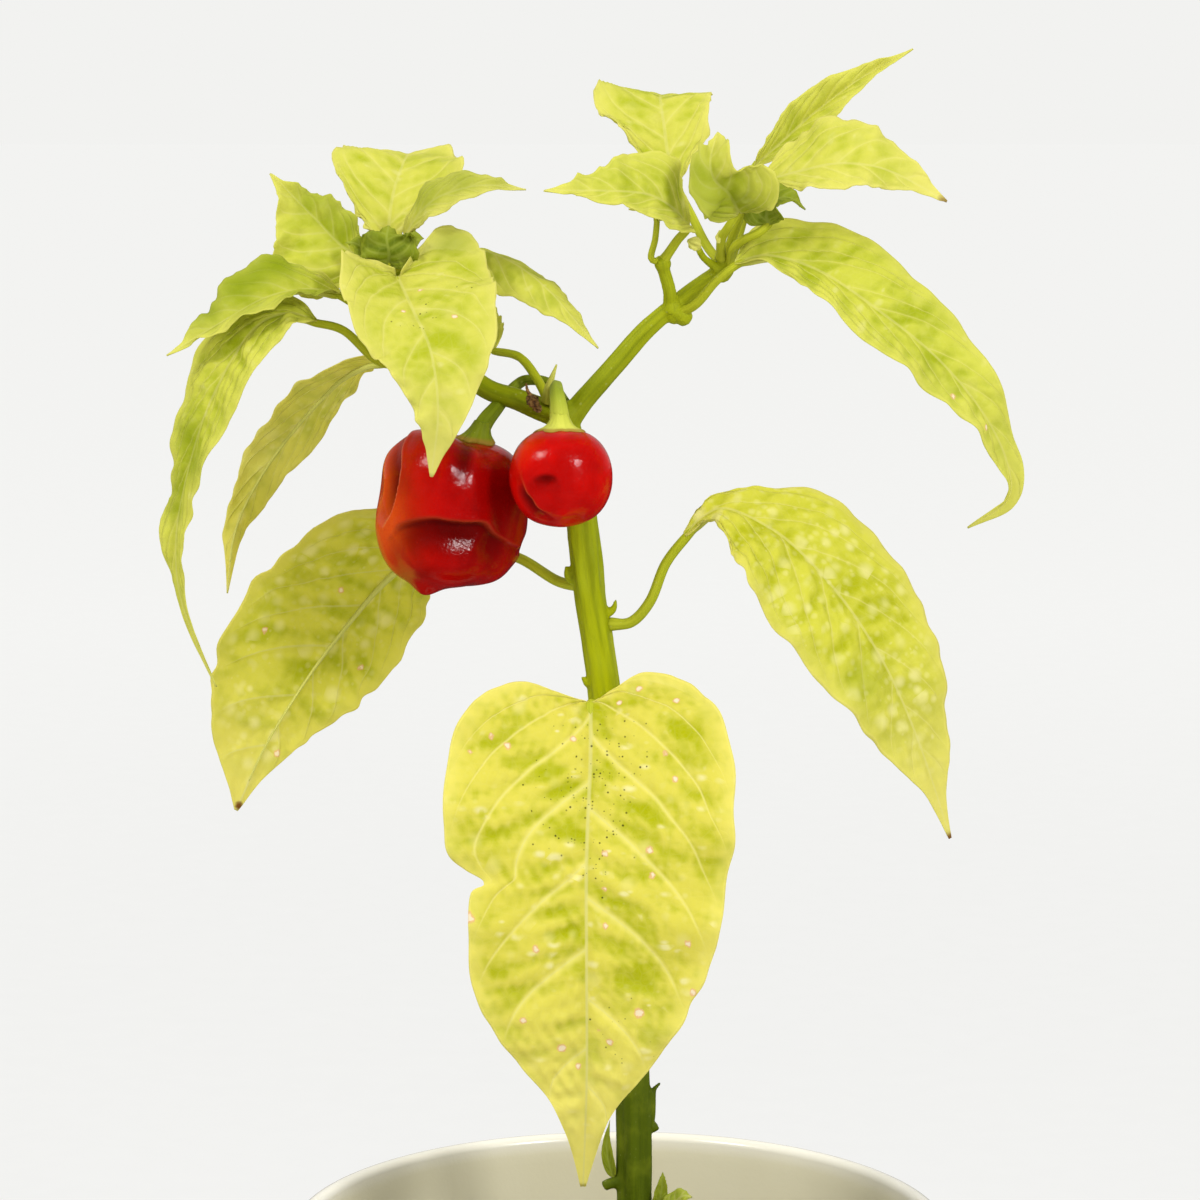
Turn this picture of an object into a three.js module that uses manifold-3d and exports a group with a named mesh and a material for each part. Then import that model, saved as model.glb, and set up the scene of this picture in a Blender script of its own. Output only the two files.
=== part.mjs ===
import * as THREE from 'three';
import { mergeVertices } from 'three/addons/utils/BufferGeometryUtils.js';
import Module from 'manifold-3d';

// A chilli pepper plant in a round cream pot: one woody stem that forks in two,
// twenty leaves on their stalks, and two ripe red fruits under the fork.
// Millimetres, +Z up, origin at the middle of the pot's flat foot, front towards -Y.

// ---------------------------------------------------------------- driving dimensions
const POT_HEIGHT = 160;
const POT_RIM_RADIUS = 90;
const POT_FOOT_RADIUS = 63;
const POT_WALL = 5;
const POT_FLOOR = 7;
const POT_CORNER_RADIUS = 7;

const SOIL_DEPTH_BELOW_RIM = 29;
const SOIL_MOUND = 4;
const SOIL_BUMP = 1.1;
const CLOD_HEIGHT = 1.8;
const CLOD_PITCH = 26;

const JOINT_GAP = 0.3;
const LEAF_THICKNESS = 0.8;
const STEM_FOOT_Z = 104;

const LARGE_FRUIT = { centre: [-45, -7, 356.5], halfSize: [19.8, 18.5, 20.2] };
const SMALL_FRUIT = { centre: [-15.5, -24, 366.5], halfSize: [13.4, 12.6, 12.4] };

// ------------------------------------------------------------------------- colours
const CREAM = 0xf2eddc;
const SOIL_BROWN = 0x3b2a1e;
const STEM_GREEN = 0x6f8a22;
const LEAF_YELLOW_GREEN = 0xbccb35;
const YOUNG_LEAF_GREEN = 0x5f8a1f;
const FRUIT_RED = 0xc4120c;
const CALYX_GREEN = 0x8fa32f;
const DRY_BROWN = 0x6b4a25;
const PALE_YELLOW = 0xd8d58a;

const wasm = await Module();
wasm.setup();

// ------------------------------------------------------------------- shared helpers
const vector = ([x, y, z]) => new THREE.Vector3(x, y, z);

function spline(points) {
  return new THREE.CatmullRomCurve3(points.map(vector), false, 'catmullrom', 0.5);
}

// The value at u (0 to 1) of a short list of evenly spaced numbers or vectors.
function keyed(keys, u) {
  const place = THREE.MathUtils.clamp(u, 0, 1) * (keys.length - 1);
  const first = Math.min(Math.floor(place), keys.length - 2);
  const blend = place - first;
  if (typeof keys[0] === 'number') {
    return THREE.MathUtils.lerp(keys[first], keys[first + 1], blend);
  }
  return vector(keys[first]).lerp(vector(keys[first + 1]), blend);
}

// The point and direction at arc-length share u, carried on straight past both ends.
function pointOnPath(path, u) {
  const inside = THREE.MathUtils.clamp(u, 0, 1);
  const direction = path.getTangentAt(inside);
  const point = path.getPointAt(inside);
  point.addScaledVector(direction, (u - inside) * path.getLength());
  return { point, direction };
}

function geometryFrom(positions, triangles) {
  const geometry = new THREE.BufferGeometry();
  geometry.setAttribute('position', new THREE.Float32BufferAttribute(positions, 3));
  geometry.setIndex(triangles);
  return geometry;
}

function toSolid(geometry) {
  const bare = geometry.clone();
  bare.deleteAttribute('normal');
  bare.deleteAttribute('uv');
  const welded = mergeVertices(bare, 1e-4);
  const corners = welded.index.array;
  const kept = [];
  for (let i = 0; i < corners.length; i += 3) {
    const [a, b, c] = [corners[i], corners[i + 1], corners[i + 2]];
    if (a !== b && b !== c && c !== a) kept.push(a, b, c);
  }
  const mesh = new wasm.Mesh({
    numProp: 3,
    vertProperties: Float32Array.from(welded.attributes.position.array),
    triVerts: Uint32Array.from(kept),
  });
  return new wasm.Manifold(mesh);
}

function fromSolid(solid) {
  const mesh = solid.getMesh();
  const geometry = geometryFrom(Array.from(mesh.vertProperties), Array.from(mesh.triVerts));
  geometry.computeVertexNormals();
  return geometry;
}

const joined = (geometries) => geometries.map(toSolid).reduce((a, b) => a.add(b));

function meshOf(name, solid, colour, roughness) {
  const material = new THREE.MeshStandardMaterial({ color: colour, roughness, metalness: 0 });
  const mesh = new THREE.Mesh(fromSolid(solid), material);
  mesh.name = name;
  return mesh;
}

// ------------------------------------------------------------------ tubes and knobs
// A round tube along a smooth path whose radius changes along it, closed at both ends.
function taperedTube(points, radii, segments, sides, extraRadius = 0) {
  const path = spline(points);
  const frames = path.computeFrenetFrames(segments, false);
  const positions = [];
  const triangles = [];
  for (let i = 0; i <= segments; i += 1) {
    const centre = path.getPointAt(i / segments);
    const radius = keyed(radii, i / segments) + extraRadius;
    for (let k = 0; k < sides; k += 1) {
      const turn = (k / sides) * 2 * Math.PI;
      const rim = centre.clone()
        .addScaledVector(frames.normals[i], Math.cos(turn) * radius)
        .addScaledVector(frames.binormals[i], Math.sin(turn) * radius);
      positions.push(rim.x, rim.y, rim.z);
    }
  }
  for (let i = 0; i < segments; i += 1) {
    for (let k = 0; k < sides; k += 1) {
      const next = (k + 1) % sides;
      const [a, b] = [i * sides + k, i * sides + next];
      triangles.push(a, b, a + sides, b, b + sides, a + sides);
    }
  }
  const lastRing = segments * sides;
  for (const end of [0, 1]) {
    const centre = path.getPointAt(end);
    positions.push(centre.x, centre.y, centre.z);
  }
  const startCentre = lastRing + sides;
  for (let k = 0; k < sides; k += 1) {
    const next = (k + 1) % sides;
    triangles.push(startCentre, next, k);
    triangles.push(startCentre + 1, lastRing + k, lastRing + next);
  }
  return geometryFrom(positions, triangles);
}

// A swelling where stalks meet.
function knob([x, y, z], radius, extraRadius = 0) {
  const ball = new THREE.SphereGeometry(radius + extraRadius, 8, 6);
  ball.translate(x, y, z);
  return ball;
}

// -------------------------------------------------------------------------- leaves
// Half outlines of a blade from base to tip. Each point is [place along the midrib,
// share of the half width]; a place below 0 is a lobe that reaches back past the base.
const OVATE = [[0, 0.05], [0.03, 0.42], [0.1, 0.76], [0.21, 0.96], [0.34, 1], [0.48, 0.88],
  [0.63, 0.62], [0.77, 0.35], [0.89, 0.15], [1, 0.02]];
const BROAD = [[0, 0.05], [-0.06, 0.35], [-0.08, 0.62], [-0.01, 0.86], [0.14, 0.98], [0.32, 1],
  [0.5, 0.97], [0.65, 0.83], [0.79, 0.57], [0.9, 0.26], [1, 0.02]];
const LOBED = [[0, 0.05], [-0.06, 0.35], [-0.09, 0.62], [-0.02, 0.86], [0.13, 1], [0.32, 0.98],
  [0.5, 0.78], [0.68, 0.46], [0.85, 0.19], [1, 0.02]];
const SHOULDERED = [[0, 0.05], [-0.1, 0.35], [-0.16, 0.62], [-0.1, 0.86], [0.08, 1], [0.3, 0.98],
  [0.5, 0.78], [0.68, 0.46], [0.85, 0.19], [1, 0.02]];
const SLIM = [[0, 0.06], [0.06, 0.3], [0.15, 0.58], [0.27, 0.9], [0.39, 1], [0.53, 0.88],
  [0.66, 0.64], [0.79, 0.36], [0.9, 0.15], [1, 0.02]];
const FULL_BASE = [[0, 0.06], [0.03, 0.4], [0.09, 0.8], [0.17, 1], [0.3, 0.98], [0.45, 0.85],
  [0.6, 0.62], [0.74, 0.38], [0.86, 0.2], [0.94, 0.12], [1, 0.02]];
const TAILED = [[0, 0.06], [0.04, 0.45], [0.12, 0.88], [0.24, 1], [0.38, 0.88], [0.52, 0.66],
  [0.63, 0.45], [0.72, 0.27], [0.8, 0.13], [0.91, 0.08], [1, 0.02]];
const TOPPED = [[0, 0.05], [0.1, 0.3], [0.24, 0.56], [0.36, 0.82], [0.45, 1], [0.57, 0.97],
  [0.8, 0.62], [0.91, 0.25], [1, 0.02]];
const BOXY = [[0, 0.05], [0.1, 0.45], [0.24, 0.85], [0.36, 0.9], [0.45, 1], [0.57, 0.97],
  [0.8, 0.62], [0.91, 0.25], [1, 0.02]];
const NARROW_NECK = [[0, 0.05], [0.06, 0.14], [0.125, 0.3], [0.18, 0.7], [0.27, 0.95], [0.38, 1],
  [0.53, 0.92], [0.67, 0.7], [0.79, 0.44], [0.9, 0.14], [1, 0.02]];
const HEART = [[0, 0.03], [-0.03, 0.18], [-0.058, 0.38], [-0.03, 0.69], [0.037, 0.88],
  [0.13, 1], [0.24, 1.01], [0.36, 0.97], [0.52, 0.86], [0.65, 0.64], [0.74, 0.43],
  [0.835, 0.18], [0.93, 0.08], [1, 0.02]];
const HEART_NICKED = [[0, 0.03], [-0.02, 0.28], [-0.03, 0.52], [0, 0.76], [0.05, 0.9],
  [0.15, 1], [0.26, 0.99], [0.325, 0.92], [0.362, 0.7], [0.385, 0.8], [0.47, 0.81],
  [0.57, 0.79], [0.65, 0.67], [0.73, 0.48], [0.8, 0.27], [0.87, 0.15], [0.93, 0.08], [1, 0.02]];

const FLARED = [[0, 0.05], [0.02, 0.5], [0.12, 1], [0.25, 0.95], [0.4, 0.58], [0.55, 0.5],
  [0.75, 0.46], [0.9, 0.24], [1, 0.02]];

const ROW_SPREAD = 1.8;
const MARGIN_BEND = 1.5;

// One leaf. The stalk and the midrib are points in space; upperFace says where the
// blade's upper side looks at base, middle and tip. Side 0 is the left half and side 1
// the right half for someone who looks at the upper side with the tip pointing down.
// fold tilts each half up about the midrib and curl bends it on, both in degrees;
// wave is the margin's [height, waves along the blade, starting phase].
function leaf(name, stalk, midrib, upperFace, halfWidth, options) {
  const shared = { outline: [OVATE, OVATE], fold: [[10, 10, 10], [10, 10, 10]],
    curl: [[0, 0, 0], [0, 0, 0]], wave: [0.8, 4, 0], stalkRadius: [1.3, 1.1], rows: 10, columns: 2,
    colour: LEAF_YELLOW_GREEN };
  return { name, stalk, midrib, upperFace, halfWidth, ...shared, ...options };
}
const bothSides = (value) => [value, value];

const LEAVES = [
  leaf('leaf_front_low',
    [[-4, 0, 296], [-5, -6, 299], [-5, -13, 303], [-8, -20, 307]],
    [[-8, -20, 307], [-8, -28, 293], [-9, -36, 268], [-9, -38, 242], [-9, -35, 209], [-10, -28, 178]],
    [[0, -0.9, 0.5], [0, -1, 0.1], [0, -1, -0.1]], [38, 38],
    { outline: [HEART_NICKED, HEART], fold: bothSides([8, 4, 10]), curl: bothSides([10, -10, -10]),
      wave: [0.8, 5, 0], rows: 20, columns: 3, stalkRadius: [1.7, 1.4] }),
  leaf('leaf_right_low',
    [[-3, 0, 325], [3, -2, 326], [8, -4, 332], [12, -5, 342], [17, -6, 350]],
    [[17, -6, 350], [22, -7, 355], [29, -9, 357], [43, -13, 350], [56, -16, 337], [66, -18, 323],
      [73, -18, 310], [80, -16, 293], [88, -12, 269]],
    [[0, -0.45, 0.9], [0.35, -0.8, 0.55], [0.5, -0.85, 0.1]], [22, 23],
    { outline: bothSides(NARROW_NECK), fold: bothSides([14, 8, 10]), curl: bothSides([-20, -25, -10]),
      wave: [0.8, 5, 0], rows: 14, columns: 3, stalkRadius: [1.5, 1.3] }),
  leaf('leaf_left_low',
    [[-9, 0, 335], [-17, 6, 336], [-27, 14, 341], [-38, 24, 343], [-48, 32, 342], [-56, 36, 340]],
    [[-56, 36, 340], [-65, 38, 333], [-76, 38, 320], [-88, 34, 304], [-99, 28, 286], [-106, 22, 270]],
    [[-0.3, 0.7, 0.6], [-0.35, 0.9, 0.2], [-0.3, 0.95, 0]], [21, 31],
    { outline: [OVATE, BROAD], fold: bothSides([8, 6, 8]), curl: bothSides([-15, -15, -10]),
      wave: [0.6, 5, 0], rows: 14, columns: 3, stalkRadius: [1.5, 1.3] }),
  leaf('leaf_front_left',
    [[-60, 5, 416], [-60, 1, 417], [-59, -3, 418]],
    [[-59, -3, 418], [-54, -20, 410], [-49, -31, 400], [-47, -36, 385], [-49, -33, 368]],
    [[0.1, -0.5, 0.85], [0.05, -0.95, 0.3], [0, -1, -0.05]], [18, 23],
    { outline: [LOBED, SHOULDERED], fold: bothSides([22, 10, 15]), curl: bothSides([0, -10, 0]),
      wave: [1.2, 4, 0], rows: 14, columns: 3 }),
  leaf('leaf_left_droop',
    [[-50, 10, 399], [-59, 4, 395], [-65, 0, 396], [-73, -6, 404], [-80, -9, 407]],
    [[-80, -9, 407], [-88, -12, 409], [-97, -15, 404], [-107, -17, 387], [-113, -17, 370],
      [-117, -15, 352], [-117, -12, 336], [-113, -9, 322], [-108, -6, 309]],
    [[-0.2, -0.5, 0.85], [-0.75, -0.6, 0.25], [-0.8, -0.6, 0]], [12, 10.5],
    { outline: bothSides(TAILED), curl: bothSides([-10, -20, 0]), wave: [0.8, 5, 0], rows: 14 }),
  leaf('leaf_back_droop',
    [[-46, 10, 396], [-50, 18, 395], [-56, 27, 396], [-63, 34, 394]],
    [[-63, 34, 394], [-75, 40, 390], [-89, 44, 376], [-100, 42, 361], [-107, 38, 346], [-109, 34, 329]],
    [[-0.3, 0.5, 0.8], [-0.5, 0.8, 0.3], [-0.5, 0.85, 0]], [11, 9],
    { outline: bothSides(SLIM), fold: bothSides([15, 15, 20]), curl: bothSides([-10, -10, 0]), rows: 12 }),
  leaf('leaf_left_out',
    [[-57, 10, 408], [-63, 6, 408], [-69, 0, 410], [-74, -4, 414]],
    [[-74, -4, 414], [-83, -8, 415], [-93, -12, 413], [-104, -14, 407], [-119, -14, 398]],
    [[0, -0.45, 0.9], [-0.2, -0.5, 0.8], [-0.5, -0.5, 0.7]], [13, 10],
    { outline: bothSides(SLIM), fold: bothSides([20, 20, 10]), curl: bothSides([10, 0, 0]),
      wave: [1, 4, 0] }),
  leaf('leaf_left_up',
    [[-62, 8, 419], [-65, 9, 420], [-67, 10, 421]],
    [[-67, 10, 421], [-75, 12, 426], [-82, 14, 433], [-88, 15, 439], [-94, 16, 445]],
    [[0.3, -0.8, 0.5], [0.3, -0.8, 0.5], [0.5, -0.7, 0.5]], [8.5, 21],
    { outline: [SLIM, OVATE], fold: [[35, 40, 40], [0, 5, 20]], wave: [1, 4, 0] }),
  leaf('leaf_left_back',
    [[-61, 9, 420], [-62, 16, 421], [-63, 24, 424]],
    [[-63, 24, 424], [-63, 30, 432], [-62, 36, 440], [-60, 44, 447], [-59, 54, 450], [-61, 68, 448]],
    [[0, -0.9, 0.2], [0, -0.8, 0.5], [0, -0.1, 1]], [17, 19],
    { outline: bothSides(TOPPED), fold: bothSides([15, 10, 0]), wave: [1, 4, 0] }),
  leaf('leaf_left_crest',
    [[-60, 9, 421], [-59, 12, 425], [-58, 13, 428]],
    [[-58, 13, 428], [-54, 10, 434], [-48, 6, 439], [-37, 1, 442], [-25, -4, 441]],
    [[-0.3, -0.6, 0.8], [-0.2, -0.6, 0.8], [0, -0.6, 0.8]], [7, 6],
    { outline: bothSides(SLIM), fold: [[0, 0, 10], [30, 25, 40]], wave: [0.5, 4, 0], rows: 10 }),
  leaf('leaf_left_inner',
    [[-60, 9, 418], [-54, 14, 421], [-48, 18, 423]],
    [[-48, 18, 423], [-40, 17, 425], [-30, 13, 422], [-19, 7, 414], [-6, 1, 399]],
    [[0, -0.3, 0.95], [0.2, -0.4, 0.9], [0.4, -0.5, 0.7]], [11, 13],
    { outline: bothSides(SLIM), fold: bothSides([-30, -25, -10]), wave: [0.5, 4, 0] }),
  leaf('leaf_left_hidden',
    [[-19, 1, 384], [-22, 5, 390], [-27, 10, 396], [-34, 16, 398]],
    [[-34, 16, 398], [-40, 26, 402], [-46, 38, 408], [-51, 50, 414], [-54, 64, 420]],
    [[-0.3, -0.3, 0.9], [-0.1, 0, 1], [0, 0.3, 0.9]], [9, 6],
    { fold: bothSides([20, 15, 10]), wave: [0.5, 4, 0], rows: 10 }),
  leaf('leaf_right_back',
    [[27, 5, 421], [23, 12, 426], [19, 16, 434], [15, 18, 442]],
    [[15, 18, 442], [13, 22, 449], [12, 28, 457], [11, 36, 465], [12, 50, 466], [14, 66, 463]],
    [[0, -0.95, 0.3], [0, -0.9, 0.3], [0, -0.2, 1]], [14, 18],
    { outline: [BOXY, TOPPED], fold: bothSides([12, 5, 0]) }),
  leaf('leaf_right_inner',
    [[11, -2, 422], [13, -4, 425], [15, -6, 428], [18, -8, 431]],
    [[18, -8, 431], [14, -14, 436], [7, -18, 440], [-4, -22, 441], [-20, -24, 441]],
    [[-0.1, -0.7, 0.7], [-0.1, -0.8, 0.6], [0, -0.8, 0.6]], [13, 8],
    { fold: bothSides([10, 10, 25]) }),
  leaf('leaf_right_centre',
    [[26.5, 1, 423], [26.5, -5, 428], [28.5, -10, 432], [31, -12, 435]],
    [[31, -12, 435], [28, -18, 440], [24, -22, 444], [23, -22, 449], [25, -16, 456]],
    [[-0.3, -0.9, 0.2], [-0.3, -0.9, 0.2], [-0.2, -0.9, 0.2]], [14, 9],
    { outline: [FLARED, OVATE], fold: [[15, 20, 30], [25, 25, 30]], wave: [1, 3, 0] }),
  leaf('leaf_right_top',
    [[29, 6, 421], [32, 11, 430], [35, 14, 441], [36, 15, 447]],
    [[36, 15, 447], [44, 16, 454], [52, 18, 461], [64, 17, 470], [78, 14, 478]],
    [[0.3, -0.8, 0.5], [0.3, -0.8, 0.5], [0.3, -0.7, 0.6]], [9, 6.5],
    { outline: bothSides(SLIM), fold: [[50, 45, 40], [25, 30, 30]], wave: [0.6, 4, 0] }),
  leaf('leaf_right_out',
    [[28, 5, 423], [31, 3, 432], [34, 0, 439], [37, -3, 443]],
    [[37, -3, 443], [47, -8, 446], [58, -12, 448], [70, -13, 446], [85, -12, 438]],
    [[0, -0.6, 0.8], [0, -0.75, 0.65], [0, -0.8, 0.5]], [9, 17.5],
    { outline: [SLIM, OVATE], fold: bothSides([0, 0, 0]) }),
  leaf('leaf_right_droop',
    [[15, 2, 408], [20, -3, 411], [25, -6, 417], [30, -8, 422]],
    [[30, -8, 422], [39, -11, 424], [52, -15, 420], [67, -19, 410], [82, -20, 398], [94, -19, 384],
      [101, -16, 371], [102, -12, 360], [92, -8, 352]],
    [[0.1, -0.6, 0.8], [0.35, -0.8, 0.5], [0.7, -0.6, -0.1]], [11, 17],
    { outline: [SLIM, FULL_BASE], fold: bothSides([10, 5, 20]), curl: bothSides([0, -10, 0]),
      wave: [0.8, 5, 0], rows: 14, columns: 3 }),
  leaf('leaf_right_young',
    [[29, 2, 422], [29.5, -5, 425.5], [32, -10, 428], [36, -12, 430], [38.5, -12, 432]],
    [[38.5, -12, 432], [38, -13, 435], [40, -14, 438.5], [44, -15, 439], [48, -14, 436]],
    [[-0.4, -0.8, 0.4], [0.1, -0.5, 0.8], [0.6, -0.3, 0.7]], [6, 7],
    { wave: [0.5, 3, 0], rows: 8, colour: YOUNG_LEAF_GREEN }),
  leaf('leaf_right_small',
    [[11, -2, 422], [8, -4, 423], [9, -6, 428], [10, -7, 433]],
    [[10, -7, 433], [9, -8, 435], [6, -9, 436], [2, -10, 436]],
    [[0, -0.3, 0.9], [0, -0.3, 0.9], [0, -0.3, 0.9]], [4, 4],
    { wave: [0.3, 3, 0], rows: 8, stalkRadius: [0.9, 0.8] }),
];

// The crumpled young leaves at the middle of the left crown, fused where they start.
const LEFT_TUFT = [
  leaf('tuft_middle', [[-61, 6, 420], [-61.5, 4, 422], [-61.5, 3, 423.5]],
    [[-61.5, 3, 423.5], [-61.5, 1, 427], [-62, 1.5, 431], [-61, 5, 433]],
    [[0, -0.9, 0.4], [0, -0.8, 0.6], [0, -0.2, 1]], [8, 8],
    { outline: bothSides(BROAD), fold: bothSides([25, 15, 0]), wave: [1, 3, 1], rows: 6 }),
  leaf('tuft_left', [[-61, 6, 420], [-63, 5, 422], [-64.5, 4, 423.5]],
    [[-64.5, 4, 423.5], [-67, 2.5, 426], [-70, 2, 428.5], [-73, 3, 429]],
    [[0.1, -0.8, 0.6], [0, -0.8, 0.6], [-0.2, -0.7, 0.7]], [5, 5],
    { fold: bothSides([25, 20, 10]), wave: [0.6, 3, 0], rows: 5 }),
  leaf('tuft_right', [[-61, 6, 420], [-59, 5, 423], [-57.5, 4, 425.5]],
    [[-57.5, 4, 425.5], [-56, 3, 428], [-54.5, 2, 429.5], [-54, 0.5, 427.5]],
    [[0, -0.8, 0.6], [0, -0.6, 0.8], [0.3, -0.8, 0.4]], [4, 5],
    { fold: bothSides([25, 20, 10]), wave: [0.5, 3, 0], rows: 5 }),
];

// A point of the blade at row share q and across share v of one half (0 left, 1 right).
function bladePoint(spec, path, edges, q, side, v) {
  const centre = q ** ROW_SPREAD;
  const edge = edges[side].getPointAt(q);
  const place = centre + (edge.x - centre) * v ** MARGIN_BEND;
  const width = Math.max(edge.y, 0.01) * spec.halfWidth[side];
  const { point, direction } = pointOnPath(path, place);
  const across = keyed(spec.upperFace, place).cross(direction).normalize();
  const up = direction.clone().cross(across);
  const fold = THREE.MathUtils.degToRad(keyed(spec.fold[side], place));
  const curl = THREE.MathUtils.degToRad(keyed(spec.curl[side], place)) || 1e-4;
  const reach = (Math.sin(fold + curl * v) - Math.sin(fold)) / curl;
  const rise = (Math.cos(fold) - Math.cos(fold + curl * v)) / curl;
  const [height, waves, phase] = spec.wave;
  const calm = Math.min(1, width / (0.3 * spec.halfWidth[side]));
  const wave = height * v * v * Math.sin(2 * Math.PI * waves * place + phase) * calm;
  const outwards = side === 0 ? -1 : 1;
  return point.addScaledVector(across, outwards * reach * width).addScaledVector(up, rise * width + wave);
}

// The blade as a closed sheet with both faces divided alike.
function blade(spec) {
  const path = spline(spec.midrib);
  const edges = spec.outline.map((points) =>
    new THREE.SplineCurve(points.map(([along, width]) => new THREE.Vector2(along, width))));
  const across = 2 * spec.columns;
  const grid = [];
  for (let i = 0; i <= spec.rows; i += 1) {
    const row = [];
    for (let j = -spec.columns; j <= spec.columns; j += 1) {
      const side = j < 0 ? 0 : 1;
      row.push(bladePoint(spec, path, edges, i / spec.rows, side, Math.abs(j) / spec.columns));
    }
    grid.push(row);
  }
  const positions = [];
  for (const half of [0.5, -0.5]) {
    for (let i = 0; i <= spec.rows; i += 1) {
      for (let j = 0; j <= across; j += 1) {
        const along = grid[Math.min(i + 1, spec.rows)][j].clone().sub(grid[Math.max(i - 1, 0)][j]);
        const sideways = grid[i][Math.min(j + 1, across)].clone().sub(grid[i][Math.max(j - 1, 0)]);
        const up = along.cross(sideways).normalize();
        const point = grid[i][j].clone().addScaledVector(up, half * LEAF_THICKNESS);
        positions.push(point.x, point.y, point.z);
      }
    }
  }
  const width = across + 1;
  const under = (spec.rows + 1) * width;
  const triangles = [];
  for (let i = 0; i < spec.rows; i += 1) {
    for (let j = 0; j < across; j += 1) {
      const [a, b] = [i * width + j, i * width + j + 1];
      const [c, d] = [a + width, b + width];
      triangles.push(a, c, b, b, c, d);
      triangles.push(under + a, under + b, under + c, under + b, under + d, under + c);
    }
    const [left, right] = [i * width, i * width + across];
    triangles.push(left, under + left, left + width, under + left, under + left + width, left + width);
    triangles.push(right, right + width, under + right, under + right, right + width,
      under + right + width);
  }
  const tip = spec.rows * width;
  for (let j = 0; j < across; j += 1) {
    triangles.push(j, j + 1, under + j, j + 1, under + j + 1, under + j);
    triangles.push(tip + j, under + tip + j, tip + j + 1, tip + j + 1, under + tip + j,
      under + tip + j + 1);
  }
  return geometryFrom(positions, triangles);
}

// The stalk, carried on under the blade as its thinning midrib.
function stalkAndRib(spec) {
  const path = spline(spec.midrib);
  const ribPlaces = [0.06, 0.2];
  const rib = ribPlaces.map((place) => {
    const { point, direction } = pointOnPath(path, place);
    const across = keyed(spec.upperFace, place).cross(direction).normalize();
    const up = direction.clone().cross(across);
    return point.addScaledVector(up, -0.5 * LEAF_THICKNESS).toArray();
  });
  const [start, end] = spec.stalkRadius;
  const points = [...spec.stalk, ...rib];
  return taperedTube(points, [start, end, 0.8 * end, 0.5], points.length + 1, 5);
}

// --------------------------------------------------------------------------- stem
const TRUNK = [[5, 0, STEM_FOOT_Z], [4, 0, 140], [4, 0, 185], [3, 0, 208], [1, 0, 236],
  [-1, 0, 263], [-3, 0, 294], [-5, 0, 313], [-8, 0, 332], [-10, 0, 350], [-12, 0, 368],
  [-16, 0, 382]];
const LEFT_BRANCH = [[-16, 0, 381], [-27, 3, 385], [-36, 6, 388], [-45, 10, 395], [-53, 11, 404],
  [-58, 9, 413], [-61, 8, 419]];
const RIGHT_BRANCH = [[-15, 0, 378], [-10, 0, 385], [-2, 1, 394], [6, 2, 403], [14, 3, 410],
  [22, 4, 416], [28, 4, 420]];
const SIDE_SHOOT = [[13, 3, 409], [13, 0, 414], [11, -2, 421]];
const SWELLINGS = [
  { at: [-15, 0, 381], radius: 4.6 },
  { at: [-60, 8, 418], radius: 3.8 },
  { at: [27, 4, 420], radius: 3.4 },
  { at: [14, 2.5, 409], radius: 3.4 },
  { at: [11, -2, 421.5], radius: 2.4 },
];
const BUDS = [
  { points: [[-11, 0, 336], [-14, 0, 338], [-14.5, 0, 341]], radii: [1.6, 1.2, 0.4] },
  { points: [[-6, 0, 327], [-2, -1, 329], [-1, -1, 332]], radii: [1.6, 1.2, 0.4] },
  { points: [[-6, 0, 308], [-9, -1, 309], [-10.5, -1, 311]], radii: [1.4, 1.1, 0.4] },
  { points: [[15, 2, 407], [18.5, 0, 407], [20.5, -1, 409]], radii: [1.6, 1.1, 0.4] },
  { points: [[5, 1, 184], [9, 3, 187], [12, 5, 192], [12, 6, 197]], radii: [1.5, 1.3, 1.2, 0.4] },
  { points: [[4, 0, 188], [9.5, 0, 186.5], [10.5, 0, 185]], radii: [1.8, 1.2, 0.6] },
  { points: [[2, 0, 180], [-4, -1, 180], [-5.5, -1, 176], [-5, -1, 172]], radii: [1.6, 1.4, 1.6, 0.5] },
  { points: [[5, 0, 162], [11, -2, 166], [15, -3, 171], [16, -3, 175]], radii: [1.6, 2, 2, 0.6] },
  { points: [[5, 0, 160], [12, -4, 163], [18, -6, 164], [22, -7, 162]], radii: [1.6, 2, 2, 0.6] },
  { points: [[26, 2, 420], [22, -2, 423], [20, -4, 426.5]], radii: [1.4, 1.1, 1.6] },
];

function stemSolid(extraRadius = 0) {
  const parts = [
    taperedTube(TRUNK, [5.2, 4.9, 4.6, 4.3, 4.2, 4.0], 18, 10, extraRadius),
    taperedTube(LEFT_BRANCH, [3.1, 2.8, 2.6, 2.6], 10, 8, extraRadius),
    taperedTube(RIGHT_BRANCH, [2.9, 2.7, 2.4, 2.3], 10, 8, extraRadius),
    taperedTube(SIDE_SHOOT, [1.9, 1.7, 1.7], 4, 8, extraRadius),
    ...SWELLINGS.map(({ at, radius }) => knob(at, radius, extraRadius)),
    ...BUDS.map(({ points, radii }) => taperedTube(points, radii, 3, 5, extraRadius)),
  ];
  return joined(parts);
}

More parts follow.
